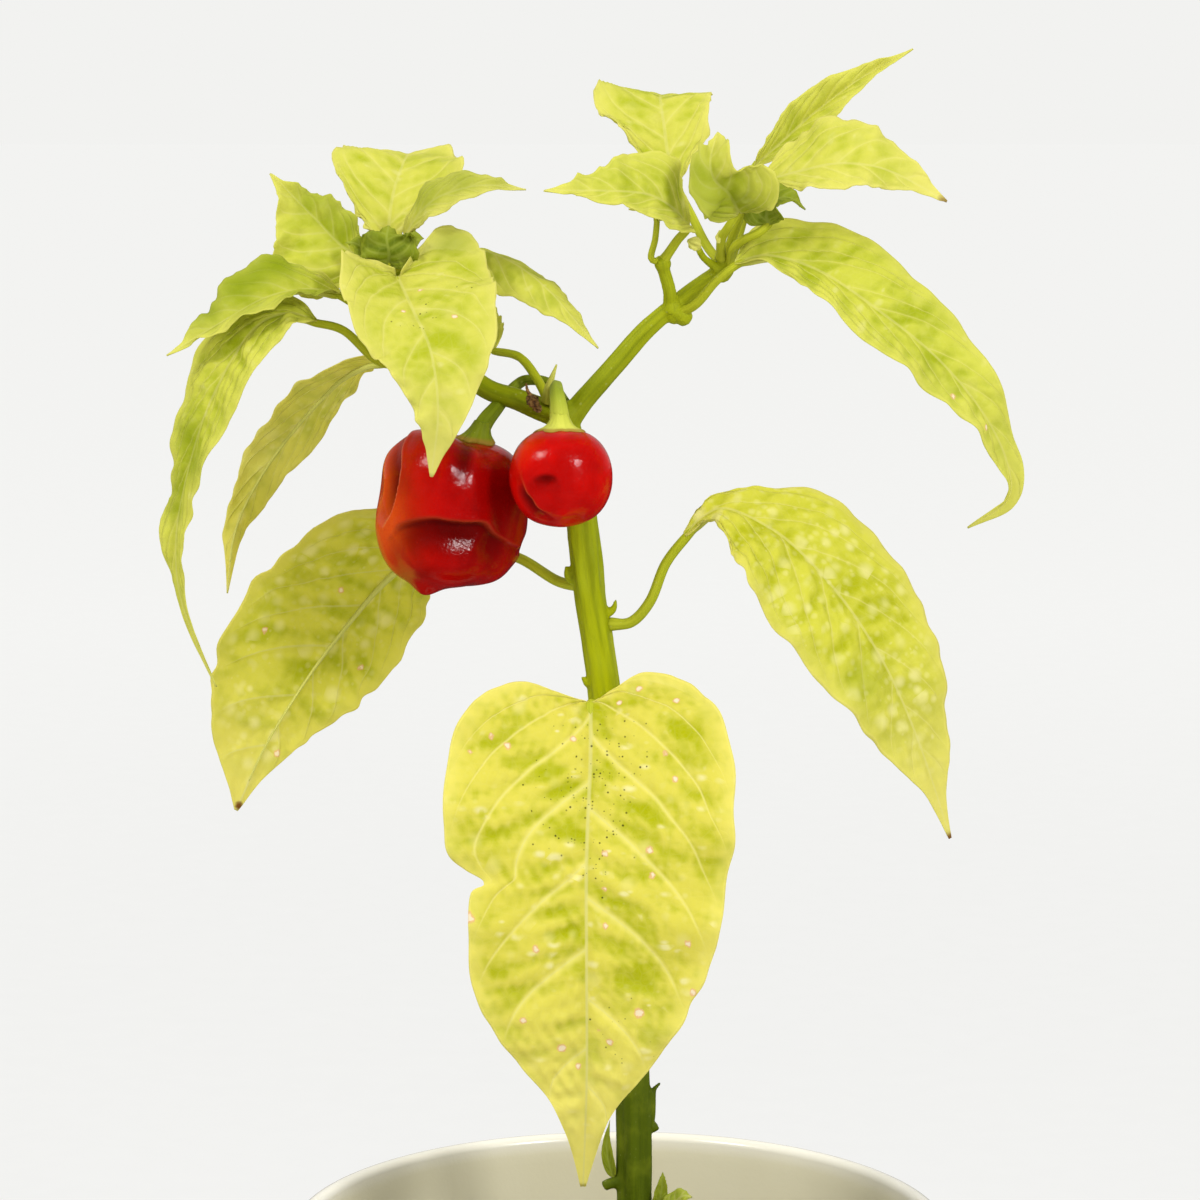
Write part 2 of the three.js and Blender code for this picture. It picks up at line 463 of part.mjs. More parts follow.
// -------------------------------------------------------------------------- fruits
// How far the skin lies from the fruit's middle in one direction, as a share of the
// half size: blocky shoulders, shallow lobes, creases, a dent and a blunt nipple tip.
const LARGE_FRUIT_SHAPE = {
  squareness: 2.9, lobes: 4, lobeDepth: 0.035, lobeTurn: 0.4,
  creases: [{ turn: 3.75, width: 0.16, depth: 0.13 }, { turn: 5.5, width: 0.22, depth: 0.05 }],
  dents: [{ towards: [0.15, -0.92, -0.38], width: 0.3, depth: 0.1 },
    { towards: [0.9, -0.3, -0.3], width: 0.3, depth: 0.04 }],
  tip: { towards: [-0.3, -0.25, -0.92], width: 0.24, height: 0.13 },
};
const SMALL_FRUIT_SHAPE = {
  squareness: 2.25, lobes: 3, lobeDepth: 0.02, lobeTurn: 1.2,
  creases: [],
  dents: [{ towards: [-0.1, -0.8, -0.6], width: 0.28, depth: 0.07 }],
  tip: { towards: [0.1, -0.3, -0.95], width: 0.3, height: 0.02 },
};

const bump = (distance, width) => Math.exp(-((distance / width) ** 2));

function skinReach(direction, shape) {
  const { x, y, z } = direction;
  const power = shape.squareness;
  const level = Math.hypot(x, y);
  const turn = Math.atan2(y, x);
  let reach = (level ** power + Math.abs(z) ** power) ** (-1 / power);
  reach += shape.lobeDepth * Math.cos(shape.lobes * turn + shape.lobeTurn) * level ** 2;
  for (const crease of shape.creases) {
    const away = Math.abs(Math.atan2(Math.sin(turn - crease.turn), Math.cos(turn - crease.turn)));
    reach -= crease.depth * bump(away, crease.width) * level ** 2;
  }
  for (const dent of shape.dents) {
    reach -= dent.depth * bump(direction.angleTo(vector(dent.towards)), dent.width);
  }
  reach += shape.tip.height * bump(direction.angleTo(vector(shape.tip.towards)), shape.tip.width);
  reach -= 0.14 * bump(Math.acos(THREE.MathUtils.clamp(z, -1, 1)), 0.34);
  return reach;
}

function fruitGeometry({ centre, halfSize }, shape, extraRadius = 0) {
  const ball = new THREE.SphereGeometry(1, 20, 13);
  ball.rotateX(Math.PI / 2);
  const places = ball.attributes.position;
  const direction = new THREE.Vector3();
  for (let i = 0; i < places.count; i += 1) {
    direction.fromBufferAttribute(places, i).normalize();
    const reach = skinReach(direction, shape);
    const [a, b, c] = halfSize.map((size) => size * reach + extraRadius);
    places.setXYZ(i, centre[0] + direction.x * a, centre[1] + direction.y * b,
      centre[2] + direction.z * c);
  }
  return ball;
}

// The green cap on the fruit's shoulder with the stalk that rises from it.
const LARGE_CALYX = {
  cap: [[-38, -6, 374.5], [-37.6, -5.5, 379]], capRadii: [4.6, 2.4],
  stalk: [[-38, -6, 377], [-36, -2, 380.5], [-33, 6, 381.5], [-30, 12, 386], [-25, 12.5, 390.5],
    [-19, 9, 389], [-15, 4, 384]],
  stalkRadii: [2.2, 1.8, 1.6, 1.6, 1.7],
};
const SMALL_CALYX = {
  cap: [[-15.5, -22, 375.2], [-15.8, -20.5, 380.5]], capRadii: [7, 2.2],
  stalk: [[-15.8, -20.5, 379.5], [-16, -17, 385.5], [-15.5, -11.5, 389.3], [-16, -6, 388],
    [-16, -1, 383]],
  stalkRadii: [2.4, 1.8, 1.7, 1.8, 2],
};

function calyx({ cap, capRadii, stalk, stalkRadii }) {
  const middle = cap[0].map((value, axis) => (value + cap[1][axis]) / 2);
  const capTube = taperedTube([cap[0], middle, cap[1]], capRadii, 2, 10);
  return joined([capTube, taperedTube(stalk, stalkRadii, 9, 7)]);
}

// ------------------------------------------------------------------- pot and soil
const POT_FLARE = (POT_RIM_RADIUS - POT_FOOT_RADIUS) / POT_HEIGHT;
const potOuterRadius = (z) => POT_FOOT_RADIUS + POT_FLARE * z;
const potInnerRadius = (z) => potOuterRadius(z) - POT_WALL;

// A lathe turned about +Z.
function latheUpright(profile, segments) {
  const geometry = new THREE.LatheGeometry(profile, segments);
  geometry.rotateX(Math.PI / 2);
  return geometry;
}

function potSolid() {
  const lipRadius = POT_WALL / 2;
  const profile = [new THREE.Vector2(0, 0)];
  for (let i = 0; i <= 3; i += 1) {
    const turn = (i / 3) * (Math.PI / 2);
    profile.push(new THREE.Vector2(
      POT_FOOT_RADIUS - POT_CORNER_RADIUS * (1 - Math.sin(turn)),
      POT_CORNER_RADIUS * (1 - Math.cos(turn))));
  }
  profile.push(new THREE.Vector2(potOuterRadius(POT_HEIGHT / 2), POT_HEIGHT / 2));
  for (let i = 0; i <= 6; i += 1) {
    const turn = (i / 6) * Math.PI;
    profile.push(new THREE.Vector2(
      POT_RIM_RADIUS - lipRadius * (1 - Math.cos(turn)),
      POT_HEIGHT - lipRadius * (1 - Math.sin(turn))));
  }
  profile.push(new THREE.Vector2(potInnerRadius(POT_FLOOR), POT_FLOOR));
  profile.push(new THREE.Vector2(0, POT_FLOOR));
  return toSolid(latheUpright(profile, 40));
}

function soilHeight(x, y) {
  const mound = SOIL_MOUND * bump(Math.hypot(x - 4, y), 45);
  const lumps = Math.sin(x / 6.5 + 1.3) * Math.cos(y / 7.5) + 0.6 * Math.sin((x + 2 * y) / 9);
  const pace = (2 * Math.PI) / CLOD_PITCH;
  const clods = Math.max(0, Math.sin(x * pace + Math.sin(y / 17)) * Math.sin(y * pace + Math.sin(x / 11)));
  return POT_HEIGHT - SOIL_DEPTH_BELOW_RIM + mound + SOIL_BUMP * lumps + CLOD_HEIGHT * clods;
}

function soilSolid(stemWithGap) {
  const bottom = POT_FLOOR + JOINT_GAP;
  const top = POT_HEIGHT - SOIL_DEPTH_BELOW_RIM;
  const edgeRadius = potInnerRadius(top) - 2 * JOINT_GAP;
  const profile = [
    new THREE.Vector2(0, bottom),
    new THREE.Vector2(potInnerRadius(bottom) - 2 * JOINT_GAP, bottom),
    new THREE.Vector2(edgeRadius, top),
  ];
  const rings = 13;
  for (let ring = rings - 1; ring >= 0; ring -= 1) {
    profile.push(new THREE.Vector2((edgeRadius * ring) / rings, top));
  }
  const geometry = latheUpright(profile, 40);
  const places = geometry.attributes.position;
  for (let i = 0; i < places.count; i += 1) {
    const [x, y, z] = [places.getX(i), places.getY(i), places.getZ(i)];
    if (z > top - 1) places.setZ(i, soilHeight(x, y));
  }
  return toSolid(geometry).subtract(stemWithGap);
}

// ------------------------------------------------------------------------ assembly
const stem = stemSolid();
const stemWithGap = stemSolid(JOINT_GAP);

const group = new THREE.Group();
group.add(meshOf('pot', potSolid(), CREAM, 0.35));
group.add(meshOf('soil', soilSolid(stemWithGap), SOIL_BROWN, 0.95));
group.add(meshOf('stem', stem, STEM_GREEN, 0.6));

for (const spec of LEAVES) {
  const solid = joined([blade(spec), stalkAndRib(spec)]).subtract(stemWithGap);
  group.add(meshOf(spec.name, solid, spec.colour, 0.5));
}

const tuftParts = LEFT_TUFT.flatMap((spec) => [blade(spec), stalkAndRib(spec)]);
group.add(meshOf('leaf_left_tuft', joined(tuftParts).subtract(stemWithGap), YOUNG_LEAF_GREEN, 0.5));

const FRUITS = [
  { name: 'fruit_large', size: LARGE_FRUIT, shape: LARGE_FRUIT_SHAPE, cap: LARGE_CALYX },
  { name: 'fruit_small', size: SMALL_FRUIT, shape: SMALL_FRUIT_SHAPE, cap: SMALL_CALYX },
];
for (const { name, size, shape, cap } of FRUITS) {
  group.add(meshOf(name, toSolid(fruitGeometry(size, shape)), FRUIT_RED, 0.15));
  const fruitWithGap = toSolid(fruitGeometry(size, shape, JOINT_GAP));
  const capSolid = calyx(cap).subtract(fruitWithGap).subtract(stemWithGap);
  group.add(meshOf(name.replace('fruit', 'calyx'), capSolid, CALYX_GREEN, 0.55));
}

// The dried rest of a flower and the pale pointed bud at the fork.
const FORK_BUDS = [
  { name: 'flower_scar', points: [[-23, -3.4, 384], [-22, -4, 385.5], [-21, -3.6, 387]],
    radii: [0.9, 1.7, 0.6], colour: DRY_BROWN },
  { name: 'pale_bud', points: [[-19.5, -1, 385], [-19, -3, 389], [-17.5, -4, 394.5]],
    radii: [1.6, 1.2, 0.4], colour: PALE_YELLOW },
];
for (const { name, points, radii, colour } of FORK_BUDS) {
  const solid = toSolid(taperedTube(points, radii, 4, 6)).subtract(stemWithGap);
  group.add(meshOf(name, solid, colour, 0.7));
}

export default group;
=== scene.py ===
"""The looks of a potted chilli pepper plant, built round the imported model.

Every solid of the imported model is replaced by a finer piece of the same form: leaves with
veins, quilted skin and pale blotches, a ribbed stem, two glossy fruits, a glazed pot and
crumbly soil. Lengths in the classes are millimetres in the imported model's frame, with +Z
up and the front towards -Y, and MM turns them into metres.
"""

import logging
import math
from collections.abc import Callable, Sequence
from dataclasses import dataclass, field
from enum import Enum

import bpy
import numpy as np
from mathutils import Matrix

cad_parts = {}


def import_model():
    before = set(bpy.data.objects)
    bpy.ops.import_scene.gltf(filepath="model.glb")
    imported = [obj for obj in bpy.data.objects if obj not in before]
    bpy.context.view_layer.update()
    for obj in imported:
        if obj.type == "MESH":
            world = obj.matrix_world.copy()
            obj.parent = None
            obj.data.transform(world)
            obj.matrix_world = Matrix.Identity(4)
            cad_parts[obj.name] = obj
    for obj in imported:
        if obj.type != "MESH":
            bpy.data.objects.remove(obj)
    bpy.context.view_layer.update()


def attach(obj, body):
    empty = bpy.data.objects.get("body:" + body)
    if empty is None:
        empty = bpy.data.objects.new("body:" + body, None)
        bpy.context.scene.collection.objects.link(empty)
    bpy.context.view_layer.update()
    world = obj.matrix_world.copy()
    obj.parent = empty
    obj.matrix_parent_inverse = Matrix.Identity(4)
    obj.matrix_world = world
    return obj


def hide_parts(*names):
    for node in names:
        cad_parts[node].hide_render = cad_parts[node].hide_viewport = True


Array = np.ndarray
Point = tuple[float, float, float]
Socket = bpy.types.NodeSocket
log = logging.getLogger("chilli_plant")

MM = 0.001
PER_METRE = 1000.0
BODY = "root"

LEAF_SHEET = 0.36
LEAF_CELL = 0.8
ROW_SPREAD = 1.8
MARGIN_BEND = 1.5
BLADE_SLOT = 0
STALK_SLOT = 1
MAPPED = ("across_mm", "along_mm", "phase", "gap")
RIB_PLACES = (0.03, 0.1, 0.2, 0.3, 0.4, 0.5, 0.6, 0.7, 0.78, 0.85, 0.9)


# ------------------------------------------------------------------ curves and waves
class Ends(Enum):
    """What a curve takes for the missing point before its first and after its last."""

    REFLECTED = "reflected"
    DOUBLED = "doubled"


class Path:
    """A smooth curve through points, walked by the share of its length."""

    SPAN_SAMPLES = 50

    def __init__(self, points: Sequence[Sequence[float]], ends: Ends = Ends.REFLECTED) -> None:
        """Samples the curve. Each span is a cubic between two points, whose slope at
        either is half the chord of that point's neighbours.

        Args:
            points: The points that the curve goes through, in two or three dimensions.
            ends: How the first and last span find their outer neighbours.
        """
        knots = np.asarray(points, float)
        outer = (2 * knots[0] - knots[1], 2 * knots[-1] - knots[-2])
        if ends is Ends.DOUBLED:
            outer = (knots[0], knots[-1])
        knots = np.vstack([outer[0], knots, outer[1]])
        before, near, far, after = knots[:-3], knots[1:-2], knots[2:-1], knots[3:]
        t = np.linspace(0, 1, self.SPAN_SAMPLES, endpoint=False)[None, :, None]
        before, near, far, after = (k[:, None, :] for k in (before, near, far, after))
        spans = 0.5 * (
            2 * near
            + (far - before) * t
            + (2 * before - 5 * near + 4 * far - after) * t**2
            + (3 * near - before - 3 * far + after) * t**3
        )
        self.samples = np.vstack([spans.reshape(-1, knots.shape[1]), knots[-2]])
        steps = np.linalg.norm(np.diff(self.samples, axis=0), axis=1)
        self.walked = np.concatenate([[0.0], np.cumsum(steps)])
        self.length = float(self.walked[-1])
        self.directions = unit(np.gradient(self.samples, axis=0))

    def at(self, share: Array) -> tuple[Array, Array]:
        """Finds points and directions, carried on straight past both ends.

        Args:
            share: Shares of the curve's length, of any shape.

        Returns:
            The points and the unit directions, with one more axis than share.
        """
        share = np.asarray(share, float)
        inside = np.clip(share, 0, 1)
        place = inside * self.length
        axes = range(self.samples.shape[1])
        point = np.stack([np.interp(place, self.walked, self.samples[:, k]) for k in axes], -1)
        heading = np.stack([np.interp(place, self.walked, self.directions[:, k]) for k in axes], -1)
        heading = unit(heading)
        return point + heading * ((share - inside) * self.length)[..., None], heading


def unit(vectors: Array) -> Array:
    """Gives vectors of length one along the last axis."""
    return vectors / np.maximum(np.linalg.norm(vectors, axis=-1, keepdims=True), 1e-9)


def keyed(keys: Sequence[float] | Sequence[Point], share: Array) -> Array:
    """Reads a short list of evenly spaced numbers or vectors.

    Args:
        keys: The values at evenly spaced places from 0 to 1.
        share: The places to read.

    Returns:
        The values in between, straight from key to key.
    """
    table = np.asarray(keys, float)
    places = np.linspace(0, 1, len(table))
    share = np.clip(share, 0, 1)
    if table.ndim == 1:
        return np.interp(share, places, table)
    return np.stack([np.interp(share, places, table[:, k]) for k in range(table.shape[1])], -1)


def smoothstep(low: float, high: float, value: Array) -> Array:
    """Rises smoothly from 0 at low to 1 at high: three t squared less two t cubed."""
    t = np.clip((value - low) / (high - low), 0, 1)
    return t * t * (3 - 2 * t)


def bump(distance: Array, width: float) -> Array:
    """A bell: e to the power of minus the squared share of the width."""
    return np.exp(-((distance / width) ** 2))


def ripples(places: Sequence[Array], size: float, seed: int, waves: int = 14) -> Array:
    """Smooth random relief: the sum of sine waves that run in random directions.

    Args:
        places: One array for each direction of space.
        size: The length of a typical wave, in the unit of places.
        seed: Picks the waves.
        waves: How many are added.

    Returns:
        Heights that mostly lie between -1 and 1.
    """
    random = np.random.default_rng(seed)
    total = np.zeros(np.broadcast(*places).shape)
    for _ in range(waves):
        heading = random.normal(size=len(places))
        heading /= np.linalg.norm(heading)
        pace = 2 * math.pi / (size * random.uniform(0.7, 1.5))
        along = sum(part * share for part, share in zip(places, heading))
        total += np.sin(along * pace + random.uniform(0, 2 * math.pi))
    return total / math.sqrt(waves)


# ------------------------------------------------------------------- meshes as arrays
@dataclass
class Surface:
    """A mesh as whole arrays.

    Attributes:
        points: The points, one row each, in millimetres.
        corners: Point numbers of all faces, one face after the other.
        sizes: How many corners each face has.
        values: Named numbers, one for each point.
        maps: Named flat maps, one pair for each face corner.
        slot: The material slot that its faces wear.
    """

    points: Array
    corners: Array
    sizes: Array
    values: dict[str, Array] = field(default_factory=dict)
    maps: dict[str, Array] = field(default_factory=dict)
    slot: int = 0


def merged(surfaces: Sequence[Surface]) -> tuple[Surface, Array]:
    """Puts surfaces in one mesh; names that one lacks are filled with zero there.

    Args:
        surfaces: The surfaces, each closed on its own.

    Returns:
        The joint surface, and the material slot of each of its faces.
    """
    starts = np.cumsum([0] + [len(s.points) for s in surfaces[:-1]])
    value_names = sorted({name for s in surfaces for name in s.values})
    map_names = sorted({name for s in surfaces for name in s.maps})
    values = {
        name: np.concatenate([s.values.get(name, np.zeros(len(s.points))) for s in surfaces])
        for name in value_names
    }
    maps = {
        name: np.concatenate([s.maps.get(name, np.zeros((len(s.corners), 2))) for s in surfaces])
        for name in map_names
    }
    slots = np.concatenate([np.full(len(s.sizes), s.slot) for s in surfaces])
    joint = Surface(
        np.concatenate([s.points for s in surfaces]),
        np.concatenate([s.corners + start for s, start in zip(surfaces, starts)]),
        np.concatenate([s.sizes for s in surfaces]),
        values,
        maps,
    )
    return joint, slots


def mesh_of(name: str, surface: Surface, scale: float) -> bpy.types.Mesh:
    """Makes a mesh from arrays.

    Args:
        name: The mesh's name.
        surface: Its points and faces.
        scale: What the points are multiplied by.

    Returns:
        The new mesh.
    """
    mesh = bpy.data.meshes.new(name)
    mesh.vertices.add(len(surface.points))
    mesh.vertices.foreach_set("co", (surface.points * scale).astype(np.float32).ravel())
    mesh.loops.add(len(surface.corners))
    mesh.loops.foreach_set("vertex_index", surface.corners.astype(np.int32))
    mesh.polygons.add(len(surface.sizes))
    starts = np.concatenate([[0], np.cumsum(surface.sizes)[:-1]])
    mesh.polygons.foreach_set("loop_start", starts.astype(np.int32))
    return mesh


def write_piece(
    name: str,
    surfaces: Sequence[Surface],
    materials: Sequence[bpy.types.Material],
    nodes: Sequence[str] = (),
) -> bpy.types.Object:
    """Writes surfaces into one object that rides on the plant.

    Args:
        name: The piece's name.
        surfaces: What the piece is made of.
        materials: The materials of its slots.
        nodes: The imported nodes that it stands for.

    Returns:
        The new object, at the origin.
    """
    joint, slots = merged(surfaces)
    mesh = mesh_of(name, joint, MM)
    mesh.polygons.foreach_set("material_index", slots.astype(np.int32))
    for key, numbers in joint.values.items():
        layer = mesh.attributes.new(key, "FLOAT", "POINT")
        layer.data.foreach_set("value", numbers.astype(np.float32))
    for key, pairs in joint.maps.items():
        layer = mesh.uv_layers.new(name=key, do_init=False)
        layer.uv.foreach_set("vector", pairs.astype(np.float32).ravel())
    mesh.update(calc_edges=True)
    mesh.validate()
    mesh.shade_smooth()
    for material in materials:
        mesh.materials.append(material)
    piece = bpy.data.objects.new(name, mesh)
    bpy.context.scene.collection.objects.link(piece)
    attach(piece, BODY)
    if nodes:
        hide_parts(*nodes)
    log.info("%s: %d faces", name, len(joint.sizes))
    return piece


def quads(grid: Array, axis: int = -1) -> Array:
    """The four corners of each cell of a grid, turned from rows to columns, along axis."""
    return np.stack([grid[:-1, :-1], grid[1:, :-1], grid[1:, 1:], grid[:-1, 1:]], axis)


def full_turn(count: int) -> Array:
    """Evenly spaced angles round a full turn."""
    return np.linspace(0, 2 * math.pi, count, endpoint=False)


def directions(rings: int, sides: int, opening: float) -> Array:
    """Unit directions on level rings from below to above, ring by place round the ring.

    Args:
        rings: Rings between the two poles.
        sides: Places round a ring.
        opening: The angle from a pole to the nearest ring.

    Returns:
        The sine of the angle from the pole times the cosine and sine of the turn, and
        its cosine.
    """
    polar = np.linspace(math.pi - opening, opening, rings)[:, None]
    turn = full_turn(sides)
    level = np.sin(polar)
    return np.stack([level * np.cos(turn), level * np.sin(turn), np.cos(polar) + 0 * turn], -1)


def rings_surface(points: Array, values: dict[str, Array], slot: int = 0) -> Surface:
    """Closes a stack of rings into a skin, with a fan of triangles at either end.

    Args:
        points: Ring by place round the ring by xyz; the rings run so that the skin's
            outer side is seen when they rise and their places turn to the left.
        values: Named numbers for each ring and place.
        slot: The material slot of the faces.

    Returns:
        The closed surface, with the cosine and sine of each place's turn as values.
    """
    rings, sides = points.shape[:2]
    index = np.arange(rings * sides).reshape(rings, sides)
    wrapped = np.hstack([index, index[:, :1]])
    walls = quads(wrapped)[..., ::-1].reshape(-1, 4)
    first, last = rings * sides, rings * sides + 1
    start_fan = np.stack([np.full(sides, first), wrapped[0, 1:], wrapped[0, :-1]], -1)
    end_fan = np.stack([np.full(sides, last), wrapped[-1, :-1], wrapped[-1, 1:]], -1)
    turn = np.broadcast_to(full_turn(sides), (rings, sides))
    values = values | {"turn_x": np.cos(turn), "turn_y": np.sin(turn)}
    closed = {
        name: np.concatenate([grid.ravel(), [grid[0].mean(), grid[-1].mean()]])
        for name, grid in values.items()
    }
    return Surface(
        np.vstack([points.reshape(-1, 3), points[0].mean(0), points[-1].mean(0)]),
        np.concatenate([walls.ravel(), start_fan.ravel(), end_fan.ravel()]),
        np.concatenate([np.full(len(walls), 4), np.full(2 * sides, 3)]),
        closed,
        slot=slot,
    )


def tube(
    path: Path,
    radii: Sequence[float],
    sides: int = 12,
    step: float = 1.0,
    ribs: Callable[[Array, Array], Array] | None = None,
    slot: int = 0,
) -> Surface:
    """A round tube along a path. A point is the path's point plus the radius there times
    the cosine of the turn sideways and its sine upwards, and ribs swell the radius.

    Args:
        path: The middle line.
        radii: Evenly spaced radii along it.
        sides: Places round a ring.
        step: Millimetres between rings.
        ribs: Gives a share to add to the radius from the turn and the walked length.
        slot: The material slot of the faces.

    Returns:
        The closed tube with the value walked, the length from its start in millimetres.
    """
    rings = max(4, math.ceil(path.length / step)) + 1
    share = np.linspace(0, 1, rings)
    centre, heading = path.at(share)
    least = int(np.argmin(np.abs(heading).max(0)))
    sideways = unit(np.cross(np.eye(3)[least], heading))
    upwards = np.cross(heading, sideways)
    turn = full_turn(sides)[None, :]
    walked = np.broadcast_to((share * path.length)[:, None], (rings, sides))
    radius = keyed(radii, share)[:, None] * np.ones_like(turn)
    if ribs:
        radius = radius * (1 + ribs(turn + 0 * walked, walked))
    points = centre[:, None] + radius[..., None] * (
        np.cos(turn)[..., None] * sideways[:, None] + np.sin(turn)[..., None] * upwards[:, None]
    )
    return rings_surface(points, {"walked": walked}, slot)


def knob(centre: Point, size: Point, seed: int, rough: float = 0.06) -> Surface:
    """A lumpy ball: a sphere stretched to its three half sizes and swollen by ripples.

    Args:
        centre: Its middle.
        size: Its half sizes along x, y and z.
        seed: Picks its lumps.
        rough: How far the lumps stand out, as a share of its size.

    Returns:
        The closed ball.
    """
    ball = directions(9, 14, 0.2)
    swell = 1 + rough * ripples((ball[..., 0], ball[..., 1], ball[..., 2]), 1.2, seed)
    points = np.asarray(centre) + ball * swell[..., None] * np.asarray(size)
    return rings_surface(points, {})


# ------------------------------------------------------------------------ shader kit
def paint(code: str) -> tuple[float, float, float, float]:
    """Turns a screen colour into a linear colour with alpha one.

    Args:
        code: The colour's code, such as "#d6d437".

    Returns:
        Red, green, blue and alpha.
    """
    shares = [int(code[k : k + 2], 16) / 255 for k in (1, 3, 5)]
    linear = [s / 12.92 if s <= 0.04045 else ((s + 0.055) / 1.055) ** 2.4 for s in shares]
    return (*linear, 1.0)


class Shader:
    """Places nodes in one tree and joins them."""

    def __init__(self, tree: bpy.types.NodeTree) -> None:
        """Keeps the tree that the nodes go in."""
        self.tree = tree

    def node(self, kind: str, **settings: object) -> bpy.types.Node:
        """Adds a node.

        Args:
            kind: The node's type without the word ShaderNode.
            settings: Its properties.

        Returns:
            The new node.
        """
        made = self.tree.nodes.new("ShaderNode" + kind)
        for key, value in settings.items():
            setattr(made, key, value)
        return made

    def feed(self, socket: Socket, value: object) -> None:
        """Joins a socket to the value if that is a socket, or else sets it.

        Args:
            socket: The input to fill.
            value: A socket, a number, a vector, or a text with a screen colour's code.
        """
        if isinstance(value, bpy.types.NodeSocket):
            self.tree.links.new(value, socket)
        else:
            socket.default_value = paint(value) if isinstance(value, str) else value

    def math(self, operation: str, *values: object) -> Socket:
        """Works out one step of arithmetic.

        Args:
            operation: The step's name.
            values: Numbers or sockets.

        Returns:
            The result.
        """
        made = self.node("Math", operation=operation)
        for socket, value in zip(made.inputs, values):
            self.feed(socket, value)
        return made.outputs[0]

    def times(self, first: object, second: object) -> Socket:
        """The product of two numbers."""
        return self.math("MULTIPLY", first, second)

    def plus(self, first: object, second: object) -> Socket:
        """The sum of two numbers."""
        return self.math("ADD", first, second)

    def minus(self, first: object, second: object) -> Socket:
        """The first number less the second."""
        return self.math("SUBTRACT", first, second)

    def mix(self, share: object, first: object, second: object) -> Socket:
        """Mixes two colours.

        Args:
            share: How much of the second.
            first: A colour, as a socket or a code.
            second: Another colour.

        Returns:
            The mixed colour.
        """
        made = self.node("Mix", data_type="RGBA", clamp_factor=True)
        self.feed(made.inputs[0], share)
        self.feed(made.inputs[6], first)
        self.feed(made.inputs[7], second)
        return made.outputs[2]

    def ramp(self, value: object, low: object, high: object, start: float = 0, end: float = 1) -> Socket:
        """Runs smoothly from start to end, and stays level on either side.

        Args:
            value: What is read.
            low: The value where it leaves start.
            high: The value where it reaches end.
            start: The result below low.
            end: The result above high.

        Returns:
            The result.
        """
        made = self.node("MapRange", interpolation_type="SMOOTHSTEP")
        for socket, given in zip(made.inputs, (value, low, high, start, end)):
            self.feed(socket, given)
        return made.outputs[0]

    def noise(self, vector: Socket, scale: object, detail: float = 3, rough: float = 0.5) -> Socket:
        """Makes smooth noise.

        Args:
            vector: Where it is read.
            scale: Its swells for each unit of length.
            detail: How many finer layers are added.
            rough: How strong each finer layer is.

        Returns:
            Numbers between 0 and 1.
        """
        made = self.node("TexNoise")
        self.feed(made.inputs["Vector"], vector)
        self.feed(made.inputs["Scale"], scale)
        made.inputs["Detail"].default_value = detail
        made.inputs["Roughness"].default_value = rough
        return made.outputs["Fac"]

    def value(self, name: str) -> Socket:
        """A number that the piece's mesh holds by name."""
        return self.node("Attribute", attribute_name=name).outputs["Fac"]

    def flat_map(self, name: str) -> Socket:
        """A flat map of the piece."""
        return self.node("UVMap", uv_map=name).outputs["UV"]

    def place(self, scale: float = 1.0) -> Socket:
        """Gives the place on the piece.

        Args:
            scale: What its metres are multiplied by.

        Returns:
            Object coordinates, scaled.
        """
        made = self.node("Mapping")
        self.feed(made.inputs["Vector"], self.node("TexCoord").outputs["Object"])
        made.inputs["Scale"].default_value = [scale] * 3
        return made.outputs["Vector"]

    def tones(self, value: Socket, stops: Sequence[tuple[float, str]]) -> Socket:
        """Gives a colour that changes from stop to stop.

        Args:
            value: What is read.
            stops: Rising values, each with its colour.

        Returns:
            The colour.
        """
        low, high = stops[0][0], stops[-1][0]
        made = self.node("ValToRGB")
        self.feed(made.inputs[0], self.math("DIVIDE", self.minus(value, low), high - low))
        steps = made.color_ramp.elements
        while len(steps) < len(stops):
            steps.new(0.5)
        for step, (place, code) in zip(steps, stops):
            step.position = (place - low) / (high - low)
            step.color = paint(code)
        return made.outputs[0]

    def shifted(self, vector: Socket, shift: Point, stretch: Point = (1, 1, 1)) -> Socket:
        """Stretches and moves a vector, so that pieces get other parts of a pattern.

        Args:
            vector: The vector.
            shift: How far it is moved.
            stretch: What its parts are multiplied by.

        Returns:
            The new vector.
        """
        made = self.node("Mapping")
        self.feed(made.inputs["Vector"], vector)
        made.inputs["Location"].default_value = shift
        made.inputs["Scale"].default_value = stretch
        return made.outputs["Vector"]

    def parts(self, vector: Socket) -> Sequence[Socket]:
        """Splits a vector.

        Args:
            vector: The vector.

        Returns:
            Its three numbers.
        """
        made = self.node("SeparateXYZ")
        self.feed(made.inputs[0], vector)
        return list(made.outputs)

    def blend(self, share: object, first: Socket, second: Socket) -> Socket:
        """Blends two surfaces.

        Args:
            share: How much of the second.
            first: A surface.
            second: Another surface.

        Returns:
            The blended surface.
        """
        made = self.node("MixShader")
        for socket, given in zip(made.inputs, (share, first, second)):
            self.feed(socket, given)
        return made.outputs[0]

    def relief(self, height: Socket, depth_mm: float) -> Socket:
        """Turns heights into a normal.

        Args:
            height: Heights between 0 and 1.
            depth_mm: What a height of 1 stands for, in millimetres.

        Returns:
            The normal.
        """
        made = self.node("Bump")
        made.inputs["Strength"].default_value = 1.0
        made.inputs["Distance"].default_value = depth_mm * MM
        self.feed(made.inputs["Height"], height)
        return made.outputs["Normal"]

    def effect(self, group: bpy.types.NodeTree, **inputs: object) -> bpy.types.Node:
        """Places a node group.

        Args:
            group: The group.
            inputs: Values for its inputs, by name.

        Returns:
            The group's node.
        """
        made = self.node("Group")
        made.node_tree = group
        for key, value in inputs.items():
            self.feed(made.inputs[key], value)
        return made


